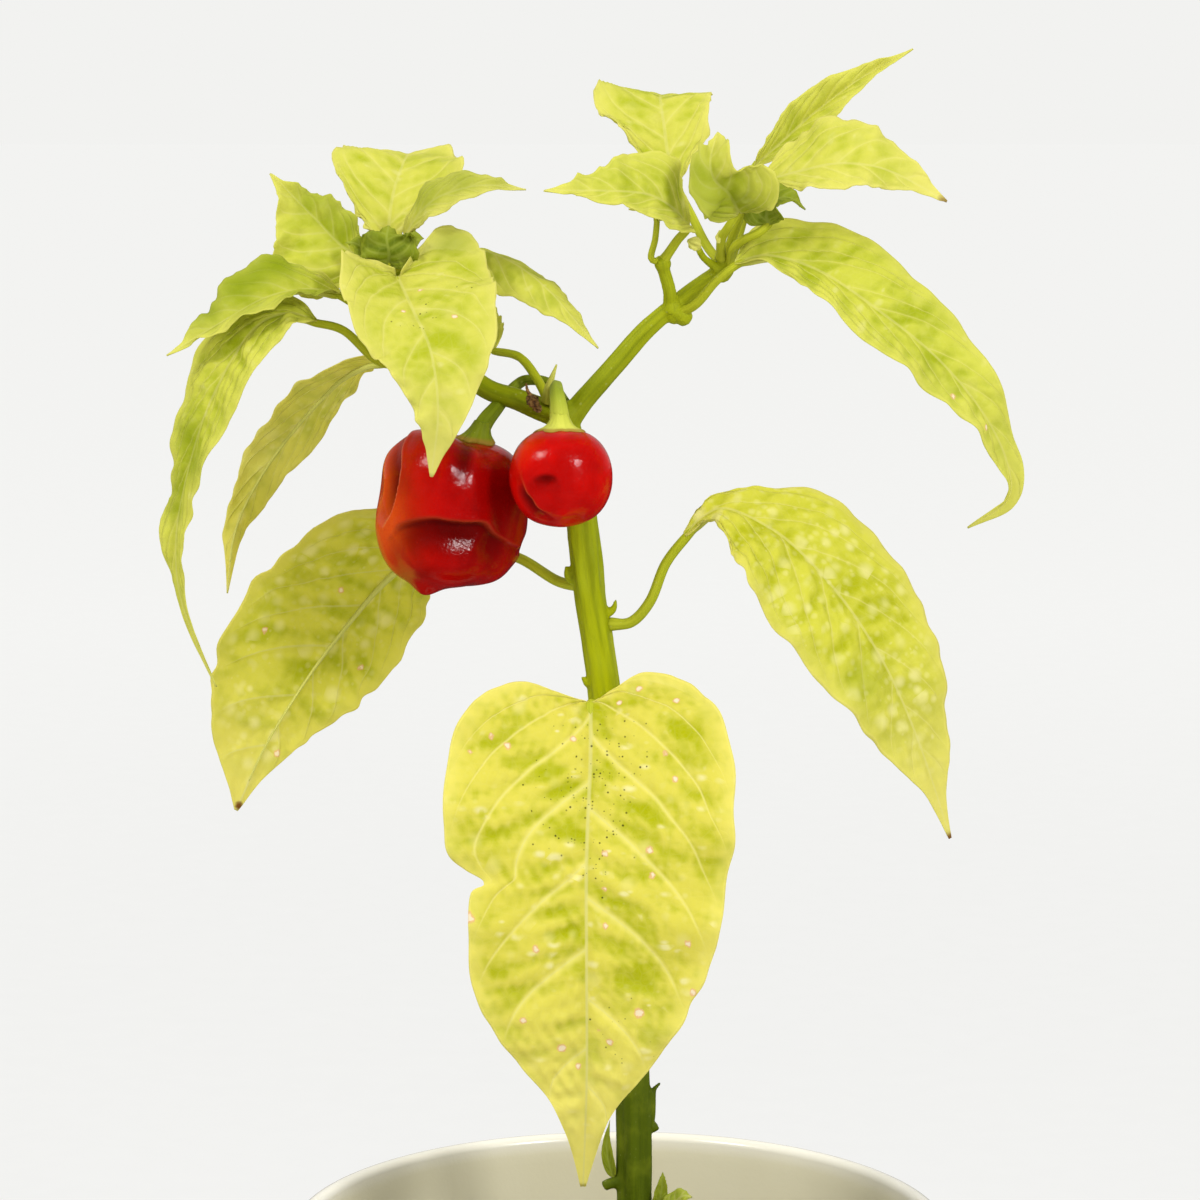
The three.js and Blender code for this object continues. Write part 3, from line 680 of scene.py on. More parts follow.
def new_material(name: str) -> tuple[bpy.types.Material, Shader, bpy.types.Node]:
    """Starts a material.

    Args:
        name: The material's name.

    Returns:
        The material, its shader kit and the node of its skin.
    """
    material = bpy.data.materials.new(name)
    material.use_nodes = True
    return material, Shader(material.node_tree), material.node_tree.nodes["Principled BSDF"]


class Effects:
    """The node groups that several materials share, each built once."""

    def __init__(self) -> None:
        """Builds the groups."""
        self.vein_lines = self._vein_lines()
        self.net = self._net()
        self.spots = self._spots()
        self.grain = self._grain()

    @staticmethod
    def _start(name: str, inputs: dict[str, str], outputs: Sequence[str]) -> tuple[Shader, Socket, Socket]:
        """Starts a group.

        Args:
            name: The group's name.
            inputs: Names and kinds of its inputs.
            outputs: Names of its outputs, all numbers.

        Returns:
            Its shader kit, and the sockets to read and to fill.
        """
        group = bpy.data.node_groups.new(name, "ShaderNodeTree")
        for key, kind in inputs.items():
            group.interface.new_socket(name=key, in_out="INPUT", socket_type="NodeSocket" + kind)
        for key in outputs:
            group.interface.new_socket(name=key, in_out="OUTPUT", socket_type="NodeSocketFloat")
        source = group.nodes.new("NodeGroupInput")
        target = group.nodes.new("NodeGroupOutput")
        return Shader(group), source.outputs, target.inputs

    def _vein_lines(self) -> bpy.types.NodeTree:
        """Lines where the phase is a whole number: the distance to the nearest one times
        the gap between two, against the line's width; the groove is five times as wide.

        Returns:
            The group.
        """
        kinds = {"Phase": "Float", "Gap": "Float", "Width": "Float"}
        kit, given, out = self._start("vein_lines", kinds, ("Line", "Groove"))
        part = kit.math("FRACT", kit.plus(given["Phase"], 0.5))
        away = kit.math("ABSOLUTE", kit.minus(part, 0.5))
        distance = kit.times(away, given["Gap"])
        half = kit.times(given["Width"], 0.4)
        kit.feed(out["Line"], kit.ramp(distance, half, kit.times(given["Width"], 1.1), 1, 0))
        kit.feed(out["Groove"], kit.ramp(distance, 0, kit.times(given["Width"], 5), 1, 0))
        return kit.tree

    def _net(self) -> bpy.types.NodeTree:
        """The fine net between veins: the walls of random cells, in two sizes.

        Returns:
            The group.
        """
        kit, given, out = self._start("fine_net", {"Vector": "Vector", "Scale": "Float"}, ("Line",))
        walls = []
        for share, width in ((1.0, 0.11), (2.7, 0.16)):
            cells = kit.node("TexVoronoi", feature="DISTANCE_TO_EDGE")
            kit.feed(cells.inputs["Vector"], given["Vector"])
            kit.feed(cells.inputs["Scale"], kit.times(given["Scale"], share))
            walls.append(kit.ramp(cells.outputs["Distance"], 0, width, 1, 0))
        fine = kit.times(walls[1], 0.5)
        kit.feed(out["Line"], kit.math("MAXIMUM", walls[0], fine))
        return kit.tree

    def _spots(self) -> bpy.types.NodeTree:
        """Round soft spots: near the middle of random cells, in the share of cells whose
        own random number is low enough, each with its own size.

        Returns:
            The group.
        """
        kinds = {"Vector": "Vector", "Scale": "Float", "Size": "Float", "Share": "Float"}
        kit, given, out = self._start("round_spots", kinds, ("Spot",))
        cells = kit.node("TexVoronoi", feature="F1")
        kit.feed(cells.inputs["Vector"], given["Vector"])
        kit.feed(cells.inputs["Scale"], given["Scale"])
        cells.inputs["Randomness"].default_value = 0.85
        chance = kit.node("SeparateColor")
        kit.feed(chance.inputs[0], cells.outputs["Color"])
        size = kit.times(given["Size"], kit.plus(chance.outputs[1], 0.35))
        inner = kit.times(size, 0.25)
        spot = kit.ramp(cells.outputs["Distance"], inner, size, 1, 0)
        shown = kit.math("LESS_THAN", chance.outputs[0], given["Share"])
        kit.feed(out["Spot"], kit.times(spot, shown))
        return kit.tree

    def _grain(self) -> bpy.types.NodeTree:
        """Fine grain of a living skin: two noises, one four times finer than the other.

        Returns:
            The group.
        """
        kit, given, out = self._start("skin_grain", {"Vector": "Vector", "Scale": "Float"}, ("Grain",))
        coarse = kit.noise(given["Vector"], given["Scale"], 4)
        fine = kit.noise(given["Vector"], kit.times(given["Scale"], 4), 2)
        kit.feed(out["Grain"], kit.plus(kit.times(coarse, 0.6), kit.times(fine, 0.4)))
        return kit.tree


# -------------------------------------------------------------------------- finishes
# The pale skin tone, used for the painted glint highlights and for the pale patches.
PALE_SKIN_AND_GLINT = "#f3edb4"
SORE_EDGE = "#edbd92"
SORE_SKIN = "#f8edd0"
SORE_HEART = "#b0603a"
DRY_SKIN = "#8a5a22"
SPECK = "#22240a"


@dataclass(frozen=True)
class BladeFinish:
    """The colours and patterns of a leaf blade.

    Attributes:
        name: The material's name.
        deep: The greener tone, also painted as shade in the relief's hollows.
        bright: The yellower tone, also painted as light on the relief's swells.
        margin: The tone along the margin and towards the tip.
        vein: The tone of the main veins.
        vein_amount: How strongly they show.
        band: How much paler the skin is along them.
        patch: The tone of the patches of painted shade.
        glint: How strongly raised skin shows pale painted highlights.
        blotch: The tone of the round pale blotches.
        blotch_amount: How strongly the blotches show.
        blotch_share: The share of cells with a blotch.
        net_amount: How strongly the fine net shows.
        rough: The surface roughness.
        glow: The share of light that comes through.
        softness: How softly deep and bright blend.
        shift: Moves the patterns, so that leaves differ.
    """

    name: str
    deep: str = "#b4bd14"
    bright: str = "#e2de5e"
    margin: str = "#e8e07a"
    vein: str = "#e6e190"
    vein_amount: float = 0.45
    band: float = 0.4
    patch: str = "#8fa004"
    glint: float = 0.3
    blotch: str = "#efe6a2"
    blotch_amount: float = 0.25
    blotch_share: float = 0.35
    net_amount: float = 0.08
    rough: float = 0.5
    glow: float = 0.35
    softness: float = 0.25
    shift: Point = (0.0, 0.0, 0.0)

    def build(self, effects: Effects) -> bpy.types.Material:
        """Makes the material: tones by noise stretched across the blade, in its own flat map, and by
        the relief, which paints shade in its hollows and light on its swells; painted highlights
        on raised skin; then pale bands along the veins, margin, blotches, net, veins, patches of
        painted shade, pale and dry patches, sores and specks laid over them.

        Args:
            effects: The shared node groups.

        Returns:
            The material.
        """
        material, kit, skin = new_material(self.name)
        flat = kit.shifted(kit.flat_map("blade_map"), self.shift)
        phase, gap, _ = kit.parts(kit.flat_map("vein_map"))
        under = kit.value("underside")
        share = kit.value("across_share")
        tip = kit.value("toward_tip")

        # Painted shade and light: the deep tone falls in the relief's hollows and the bright one on its
        # swells, mixed with noise for tone that differs at random.
        relief_shade_and_tone = kit.noise(kit.shifted(flat, (0, 0, 0), (0.9, 2.3, 1)), 1.0, 2.5, 0.5)
        relief_shade_and_tone = kit.plus(kit.times(relief_shade_and_tone, 0.55), kit.times(kit.value("pucker"), 0.45))
        clouds = kit.times(kit.minus(kit.noise(flat, 0.45, 2), 0.5), 0.5)
        tone = kit.ramp(kit.plus(relief_shade_and_tone, clouds), 0.42 - self.softness, 0.42 + self.softness)
        colour = kit.mix(tone, self.deep, self.bright)
        # Painted highlights: pale glints on the raised skin.
        glints = kit.shifted(flat, (2, 5, 0), (1.4, 2.6, 1))
        glints = kit.effect(effects.spots, Vector=glints, Scale=1.5, Size=0.5, Share=0.5)
        raised = kit.ramp(kit.value("pucker"), 0.45, 0.75, 0, self.glint)
        colour = kit.mix(kit.times(glints.outputs["Spot"], raised), colour, PALE_SKIN_AND_GLINT)

        width = kit.ramp(share, 0.0, 1.0, 0.36, 0.14)
        lines = kit.effect(effects.vein_lines, Phase=phase, Gap=gap, Width=width)
        fade = kit.ramp(share, 0.75, 1.0, 1, 0)
        band = kit.times(kit.times(lines.outputs["Groove"], fade), self.band)
        colour = kit.mix(band, colour, self.margin)

        edge = kit.value("edge_mm")
        margin = kit.math("MAXIMUM", kit.ramp(edge, 0.3, 1.1, 0.75, 0), kit.ramp(edge, 0, 6.0, 0.45, 0))
        margin = kit.math("MAXIMUM", margin, kit.ramp(tip, 0.5, 1.0, 0, 0.9))
        colour = kit.mix(margin, colour, self.margin)

        mottle = kit.ramp(kit.noise(flat, 0.55, 2), 0.3, 0.6, 0.55, 1.0)
        inner = kit.ramp(edge, 0.5, 4.0)
        for scale, size, amount in ((2.0, 0.52, 1.0), (4.3, 0.45, 0.5)):
            spots = kit.effect(effects.spots, Vector=flat, Scale=scale, Size=size, Share=self.blotch_share)
            blotch = kit.times(spots.outputs["Spot"], kit.times(mottle, inner))
            blotch = kit.times(blotch, self.blotch_amount * amount)
            colour = kit.mix(blotch, colour, self.blotch)

        net = kit.effect(effects.net, Vector=flat, Scale=3.2)
        colour = kit.mix(kit.times(net.outputs["Line"], self.net_amount), colour, self.vein)
        lateral = kit.times(lines.outputs["Line"], fade)
        away = kit.math("ABSOLUTE", kit.value("across_mm"))
        midrib = kit.ramp(away, 0.18, kit.ramp(tip, 0, 1, 0.75, 0.35), 1, 0)
        ribs = kit.math("MAXIMUM", kit.times(lateral, 0.7), midrib)
        colour = kit.mix(kit.times(ribs, self.vein_amount), colour, self.vein)

        # Painted shade: darker green patches where the blade is turned from the light.
        colour = kit.mix(kit.value("dark_patch"), colour, self.patch)
        colour = kit.mix(kit.value("pale_patch"), colour, PALE_SKIN_AND_GLINT)
        ragged = kit.times(kit.minus(kit.noise(flat, 9, 3), 0.5), 0.6)
        sore = kit.plus(kit.value("sore"), ragged)
        colour = kit.mix(kit.ramp(sore, 0.32, 0.55, 0, 0.75), colour, SORE_EDGE)
        colour = kit.mix(kit.ramp(sore, 0.55, 0.75, 0, 0.9), colour, SORE_SKIN)
        colour = kit.mix(kit.ramp(sore, 0.98, 1.12, 0, 0.8), colour, SORE_HEART)
        dry = kit.ramp(kit.plus(kit.value("dry"), kit.times(kit.noise(flat, 5), 0.25)), 0.55, 0.95)
        colour = kit.mix(dry, colour, DRY_SKIN)
        crowd = kit.times(kit.value("specks"), 0.36)
        specks = kit.effect(effects.spots, Vector=flat, Scale=12.0, Size=0.4, Share=crowd)
        colour = kit.mix(kit.times(specks.outputs["Spot"], 0.92), colour, SPECK)
        kit.feed(skin.inputs["Base Color"], colour)

        groove = kit.times(lines.outputs["Groove"], fade)
        groove = kit.math("MAXIMUM", groove, kit.ramp(away, 0.2, 1.6, 1, 0))
        grain = kit.effect(effects.grain, Vector=flat, Scale=5.0)
        height = kit.times(groove, kit.minus(kit.times(under, 1.7), 0.7))
        height = kit.plus(height, kit.times(grain.outputs["Grain"], 0.04))
        height = kit.minus(height, kit.times(net.outputs["Line"], 0.12))
        normal = kit.relief(height, 0.2)
        kit.feed(skin.inputs["Normal"], normal)
        rough = kit.ramp(grain.outputs["Grain"], 0.3, 0.7, self.rough - 0.07, self.rough + 0.1)
        kit.feed(skin.inputs["Roughness"], rough)
        skin.inputs["Specular IOR Level"].default_value = 0.08

        through = kit.node("BsdfTranslucent")
        kit.feed(through.inputs["Color"], colour)
        kit.feed(through.inputs["Normal"], normal)
        lit = kit.blend(self.glow, skin.outputs[0], through.outputs[0])
        kit.feed(kit.tree.nodes["Material Output"].inputs["Surface"], lit)
        return material


@dataclass(frozen=True)
class StalkFinish:
    """The green skin of stalks and stem.

    Attributes:
        name: The material's name.
        tones: Heights in millimetres with the tone there, from low to high.
        line: The tone of the lengthwise lines.
        ribbed: How strongly the lengthwise lines show.
    """

    name: str
    tones: tuple[tuple[float, str], ...]
    line: str
    ribbed: float = 0.5

    def build(self, effects: Effects) -> bpy.types.Material:
        """Makes the material: the tone changes with height, streaks run lengthwise.

        Args:
            effects: The shared node groups.

        Returns:
            The material.
        """
        material, kit, skin = new_material(self.name)
        place = kit.place(PER_METRE)
        colour = kit.tones(kit.parts(place)[2], self.tones)
        streak = kit.node("CombineXYZ")
        kit.feed(streak.inputs[0], kit.times(kit.value("turn_x"), 2.2))
        kit.feed(streak.inputs[1], kit.times(kit.value("turn_y"), 2.2))
        kit.feed(streak.inputs[2], kit.times(kit.value("walked"), 0.035))
        lengthwise = kit.ramp(kit.noise(streak.outputs[0], 1.0, 4, 0.6), 0.38, 0.66)
        colour = kit.mix(kit.times(lengthwise, self.ribbed), colour, self.line)
        blush = kit.ramp(kit.noise(place, 0.16, 4), 0.42, 0.72, 0, 0.15)
        colour = kit.mix(blush, colour, "#a9b22a")
        colour = kit.mix(kit.times(kit.value("pale"), 0.8), colour, "#d4d270")
        colour = kit.mix(kit.value("scar"), colour, "#94722c")
        specks = kit.effect(effects.spots, Vector=place, Scale=0.75, Size=0.3, Share=0.14)
        colour = kit.mix(kit.times(specks.outputs["Spot"], 0.15), colour, "#d9d990")
        kit.feed(skin.inputs["Base Color"], colour)
        grain = kit.effect(effects.grain, Vector=place, Scale=0.9)
        bumps = kit.plus(grain.outputs["Grain"], kit.times(lengthwise, 0.6))
        kit.feed(skin.inputs["Normal"], kit.relief(bumps, 0.12))
        kit.feed(skin.inputs["Roughness"], kit.ramp(grain.outputs["Grain"], 0.3, 0.7, 0.42, 0.6))
        skin.inputs["Specular IOR Level"].default_value = 0.1
        return material


@dataclass(frozen=True)
class FruitFinish:
    """The glossy skin of a ripe fruit.

    Attributes:
        name: The material's name.
        ripe: The deepest red.
        lit: The warmer red of the swells.
        turning: The orange red of the left side, partly the skin's own and partly painted light.
    """

    name: str
    ripe: str = "#8a0302"
    lit: str = "#a60402"
    turning: str = "#c9480f"

    def build(self, effects: Effects) -> bpy.types.Material:
        """Makes the material: reds by noise, painted shade in hollows and creases, a painted highlight along
        the lips, and orange on the left that is partly painted light.

        Args:
            effects: The shared node groups.

        Returns:
            The material.
        """
        material, kit, skin = new_material(self.name)
        place = kit.place(PER_METRE)
        tone = kit.ramp(kit.noise(place, 0.09, 3), 0.35, 0.68)
        colour = kit.mix(tone, self.ripe, self.lit)
        # Partly painted light: orange on the left, the side the key light falls on, over the skin's own
        # orange.
        colour = kit.mix(kit.value("turning"), colour, self.turning)
        fine = kit.ramp(kit.noise(place, 1.6, 3), 0.45, 0.75, 0, 0.25)
        colour = kit.mix(fine, colour, "#b00a04")
        # Painted shade: hollows and creases darkened in the colour.
        colour = kit.mix(kit.times(kit.value("hollow"), 0.95), colour, "#560100")
        # Painted highlight: a pale orange line along the lips of the hollows.
        colour = kit.mix(kit.value("rim"), colour, "#e07848")
        dots = kit.effect(effects.spots, Vector=place, Scale=0.9, Size=0.22, Share=0.35)
        colour = kit.mix(kit.times(dots.outputs["Spot"], 0.1), colour, "#e8301a")
        kit.feed(skin.inputs["Base Color"], colour)
        grain = kit.effect(effects.grain, Vector=place, Scale=0.35)
        kit.feed(skin.inputs["Normal"], kit.relief(grain.outputs["Grain"], 0.16))
        kit.feed(skin.inputs["Roughness"], kit.ramp(grain.outputs["Grain"], 0.35, 0.65, 0.12, 0.19))
        skin.inputs["Specular IOR Level"].default_value = 0.18
        skin.inputs["Coat Weight"].default_value = 0.05
        skin.inputs["Coat Roughness"].default_value = 0.1
        return material


@dataclass(frozen=True)
class GlazeFinish:
    """The cream glaze of the pot, bare at the foot.

    Attributes:
        name: The material's name.
        glaze: The glaze's colour.
        clay: The bare clay's colour.
        foot_z: How high the bare foot reaches, in millimetres.
    """

    name: str = "cream_glaze"
    glaze: str = "#d6d0b3"
    clay: str = "#c9a988"
    foot_z: float = 2.2

    def build(self, effects: Effects) -> bpy.types.Material:
        """Makes the material: cream with soft clouds and few specks, a painted highlight on the top of the
        lip, clay at the foot.

        Args:
            effects: The shared node groups.

        Returns:
            The material.
        """
        material, kit, skin = new_material(self.name)
        place = kit.place(PER_METRE)
        clouds = kit.ramp(kit.noise(place, 0.018, 4), 0.35, 0.7, 0, 0.5)
        colour = kit.mix(clouds, self.glaze, "#cdc6a5")
        # Painted highlight: the top of the lip paler, where the light falls on it.
        crest = kit.value("crest")
        colour = kit.mix(kit.times(crest, 0.75), colour, "#f6f3e9")
        specks = kit.effect(effects.spots, Vector=place, Scale=0.09, Size=0.06, Share=0.3)
        colour = kit.mix(kit.times(specks.outputs["Spot"], 0.7), colour, "#8a7a60")
        edge = kit.plus(kit.parts(place)[2], kit.times(kit.noise(place, 0.12, 2), 1.2))
        bare = kit.ramp(edge, self.foot_z, self.foot_z + 0.5, 1, 0)
        colour = kit.mix(bare, colour, self.clay)
        kit.feed(skin.inputs["Base Color"], colour)
        kit.feed(skin.inputs["Roughness"], kit.ramp(bare, 0, 1, 0.24, 0.85))
        waves = kit.plus(kit.noise(place, 0.03, 2), kit.times(kit.noise(place, 0.9, 3), 0.12))
        kit.feed(skin.inputs["Normal"], kit.relief(waves, 0.35))
        kit.feed(skin.inputs["Coat Weight"], kit.ramp(bare, 0, 1, 0.5, 0))
        skin.inputs["Coat Roughness"].default_value = 0.12
        return material


@dataclass(frozen=True)
class CrumbFinish:
    """Matt crumbly stuff: soil, bark crumbs and dried flower rests.

    Attributes:
        name: The material's name.
        dark: The darker tone.
        light: The lighter tone.
        scale: Clouds for each millimetre.
        depth: The relief, in millimetres.
    """

    name: str
    dark: str
    light: str
    scale: float = 0.4
    depth: float = 0.7

    def build(self, effects: Effects) -> bpy.types.Material:
        """Makes the material: two tones by noise, rough all over.

        Args:
            effects: The shared node groups.

        Returns:
            The material.
        """
        material, kit, skin = new_material(self.name)
        place = kit.place(PER_METRE)
        tone = kit.ramp(kit.noise(place, self.scale, 6, 0.65), 0.32, 0.7)
        colour = kit.mix(tone, self.dark, self.light)
        bits = kit.effect(effects.spots, Vector=place, Scale=self.scale * 2, Size=0.3, Share=0.12)
        colour = kit.mix(kit.times(bits.outputs["Spot"], 0.5), colour, "#9b8a6a")
        kit.feed(skin.inputs["Base Color"], colour)
        kit.feed(skin.inputs["Normal"], kit.relief(kit.noise(place, self.scale * 3, 6, 0.7), self.depth))
        kit.feed(skin.inputs["Roughness"], kit.ramp(tone, 0, 1, 0.85, 0.98))
        return material


# ---------------------------------------------------------------------------- leaves
class Outline(Enum):
    """Half outlines of a blade: points of (place along the midrib, share of the half
    width) from base to tip; a place below 0 is a lobe that reaches back past the base."""

    OVATE = (
        (0, 0.05), (0.03, 0.42), (0.1, 0.76), (0.21, 0.96), (0.34, 1), (0.48, 0.88),
        (0.63, 0.62), (0.77, 0.35), (0.89, 0.15), (1, 0.02),
    )
    BROAD = (
        (0, 0.05), (-0.06, 0.35), (-0.08, 0.62), (-0.01, 0.86), (0.14, 0.98), (0.32, 1),
        (0.5, 0.97), (0.65, 0.83), (0.79, 0.57), (0.9, 0.26), (1, 0.02),
    )
    LOBED = (
        (0, 0.05), (-0.06, 0.35), (-0.09, 0.62), (-0.02, 0.86), (0.13, 1), (0.32, 0.98),
        (0.5, 0.78), (0.68, 0.46), (0.85, 0.19), (1, 0.02),
    )
    SHOULDERED = (
        (0, 0.05), (-0.1, 0.35), (-0.16, 0.62), (-0.1, 0.86), (0.08, 1), (0.3, 0.98),
        (0.5, 0.78), (0.68, 0.46), (0.85, 0.19), (1, 0.02),
    )
    SLIM = (
        (0, 0.06), (0.06, 0.3), (0.15, 0.58), (0.27, 0.9), (0.39, 1), (0.53, 0.88),
        (0.66, 0.64), (0.79, 0.36), (0.9, 0.15), (1, 0.02),
    )
    FULL_BASE = (
        (0, 0.06), (0.03, 0.4), (0.09, 0.8), (0.17, 1), (0.3, 0.98), (0.45, 0.85),
        (0.6, 0.62), (0.74, 0.38), (0.86, 0.2), (0.94, 0.12), (1, 0.02),
    )
    TAILED = (
        (0, 0.06), (0.04, 0.45), (0.12, 0.88), (0.24, 1), (0.38, 0.88), (0.52, 0.66),
        (0.63, 0.45), (0.72, 0.27), (0.8, 0.13), (0.91, 0.08), (1, 0.02),
    )
    TOPPED = (
        (0, 0.05), (0.1, 0.3), (0.24, 0.56), (0.36, 0.82), (0.45, 1), (0.57, 0.97),
        (0.8, 0.62), (0.91, 0.25), (1, 0.02),
    )
    BOXY = (
        (0, 0.05), (0.1, 0.45), (0.24, 0.85), (0.36, 0.9), (0.45, 1), (0.57, 0.97),
        (0.8, 0.62), (0.91, 0.25), (1, 0.02),
    )
    NARROW_NECK = (
        (0, 0.05), (0.06, 0.14), (0.125, 0.3), (0.18, 0.7), (0.27, 0.95), (0.38, 1),
        (0.53, 0.92), (0.67, 0.7), (0.79, 0.44), (0.9, 0.14), (1, 0.02),
    )
    HEART = (
        (0, 0.03), (-0.03, 0.18), (-0.058, 0.38), (-0.03, 0.69), (0.037, 0.88), (0.13, 1),
        (0.24, 1.01), (0.36, 0.97), (0.52, 0.86), (0.65, 0.64), (0.74, 0.43),
        (0.835, 0.18), (0.93, 0.08), (1, 0.02),
    )
    HEART_NICKED = (
        (0, 0.03), (-0.02, 0.28), (-0.03, 0.52), (0, 0.76), (0.05, 0.9), (0.15, 1),
        (0.26, 0.99), (0.325, 0.92), (0.362, 0.7), (0.385, 0.8), (0.47, 0.81),
        (0.57, 0.79), (0.65, 0.67), (0.73, 0.48), (0.8, 0.27), (0.87, 0.15),
        (0.93, 0.08), (1, 0.02),
    )
    FLARED = (
        (0, 0.05), (0.05, 0.4), (0.16, 0.85), (0.29, 1), (0.42, 0.7), (0.56, 0.5),
        (0.75, 0.46), (0.9, 0.24), (1, 0.02),
    )


class MarkKind(Enum):
    """What a mark does to the blade; the value is the name of the mesh's numbers."""

    SORE = "sore"
    # Painted shade: a darker patch where the blade is turned from the light.
    DARK = "dark_patch"
    PALE = "pale_patch"
    DRY = "dry"
    SPECKS = "specks"


@dataclass(frozen=True)
class Mark:
    """A mark on a blade, placed on its flat map.

    Attributes:
        kind: What it is.
        across: Millimetres from the midrib, below 0 on the left half.
        along: Millimetres from the blade's base.
        radius: Its radius, in millimetres.
        strength: How strong it is, up to 1.
    """

    kind: MarkKind
    across: float
    along: float
    radius: float
    strength: float = 1.0


@dataclass(frozen=True)
class Lift:
    """A stretch of margin that curls up or down.

    Attributes:
        side: 0 for the left half, 1 for the right.
        place: Where along the midrib it is strongest.
        reach: How far it goes along, as a share of the midrib.
        height: How far the margin rises, in millimetres.
    """

    side: int
    place: float
    reach: float
    height: float


@dataclass(frozen=True)
class Leaf:
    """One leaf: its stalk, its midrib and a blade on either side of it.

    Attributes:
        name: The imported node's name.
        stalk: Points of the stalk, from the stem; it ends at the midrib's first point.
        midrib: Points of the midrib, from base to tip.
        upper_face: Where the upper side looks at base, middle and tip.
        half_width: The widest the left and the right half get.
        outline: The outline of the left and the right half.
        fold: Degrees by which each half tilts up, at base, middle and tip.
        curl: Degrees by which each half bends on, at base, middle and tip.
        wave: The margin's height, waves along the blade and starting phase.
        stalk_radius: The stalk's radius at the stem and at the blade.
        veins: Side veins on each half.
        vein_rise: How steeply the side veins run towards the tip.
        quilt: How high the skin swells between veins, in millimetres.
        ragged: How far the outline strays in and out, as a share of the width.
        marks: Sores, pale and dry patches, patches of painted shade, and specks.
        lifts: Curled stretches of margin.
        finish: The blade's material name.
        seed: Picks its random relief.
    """

    name: str
    stalk: Sequence[Point]
    midrib: Sequence[Point]
    upper_face: Sequence[Point]
    half_width: tuple[float, float]
    outline: tuple[Outline, Outline] = (Outline.OVATE, Outline.OVATE)
    fold: tuple[Point, Point] = ((10, 10, 10), (10, 10, 10))
    curl: tuple[Point, Point] = ((0, 0, 0), (0, 0, 0))
    wave: Point = (0.8, 4, 0)
    stalk_radius: tuple[float, float] = (1.3, 1.1)
    veins: int = 6
    vein_rise: float = 0.42
    quilt: float = 0.5
    ragged: float = 0.022
    marks: tuple[Mark, ...] = ()
    lifts: tuple[Lift, ...] = ()
    finish: str = "crown_leaf"
    seed: int = 1

    def blade(self) -> Surface:
        """The blade as a closed sheet with both faces divided alike.

        A row q runs from the midrib at q to the power ROW_SPREAD to the outline at q,
        which strays in and out by fine ripples; a place v across it moves along the midrib
        by v to the power MARGIN_BEND. The half tilts up by fold and bends on by curl times
        v, so it reaches out by the integral of the cosine of that angle and rises by the
        integral of its sine. The margin waves as a sine of the place plus finer ripples
        and the lifts, and the quilted relief is added along the normal.

        Returns:
            The sheet, with the numbers and maps that the blade's material reads.
        """
        path = Path(self.midrib)
        rows = max(24, math.ceil(1.15 * path.length / LEAF_CELL))
        columns = max(8, math.ceil(max(self.half_width) / LEAF_CELL))
        halves = [self._half(path, side, rows, columns) for side in (0, 1)]
        left, right = halves
        whole = {key: np.concatenate([left[key][:, :0:-1], right[key]], 1) for key in right}
        grid = whole.pop("points")
        along, sideways = np.gradient(grid, axis=0), np.gradient(grid, axis=1)
        normal = unit(np.cross(along, sideways))
        middle = grid + normal * whole.pop("relief")[..., None]
        edge = 1 - 0.45 * smoothstep(0.9, 1.0, np.abs(whole["across_share"]))
        half_sheet = (0.5 * LEAF_SHEET * edge)[..., None] * normal
        width = 2 * columns + 1
        top = np.arange((rows + 1) * width).reshape(rows + 1, width)
        under = top + (rows + 1) * width
        corners, mapped = [], []
        for side, step in ((0, -1), (1, 1)):
            own = slice(columns, None, step)
            numbers = quads(np.stack([halves[side][key] for key in MAPPED], -1), -2)
            for index, outward in ((top, side == 1), (under, side == 0)):
                order = slice(None, None, 1 if outward else -1)
                corners.append(quads(index[:, own])[..., order].reshape(-1, 4))
                mapped.append(numbers[..., order, :].reshape(-1, 4))
        around = np.concatenate([top[0, :-1], top[:-1, -1], top[-1, :0:-1], top[:0:-1, 0]])
        after = np.roll(around, -1)
        rim = np.stack([around, after, after + (rows + 1) * width, around + (rows + 1) * width], -1)
        corners.append(rim)
        numbers = np.stack([whole[key] for key in MAPPED], -1).reshape(-1, 4)
        mapped.append(numbers[rim % ((rows + 1) * width)].reshape(-1, 4))
        mapped = np.concatenate(mapped) / (10, 10, 1, 1)
        kept = {key: whole[key] for key in whole if key not in MAPPED[1:]}
        values = {key: np.tile(numbers.ravel(), 2) for key, numbers in kept.items()}
        values["underside"] = np.repeat([0.0, 1.0], (rows + 1) * width)
        points = np.concatenate([middle + half_sheet, middle - half_sheet]).reshape(-1, 3)
        faces = np.concatenate(corners)
        maps = {"blade_map": mapped[:, :2], "vein_map": mapped[:, 2:]}
        return Surface(points, faces.ravel(), np.full(len(faces), 4), values, maps, BLADE_SLOT)

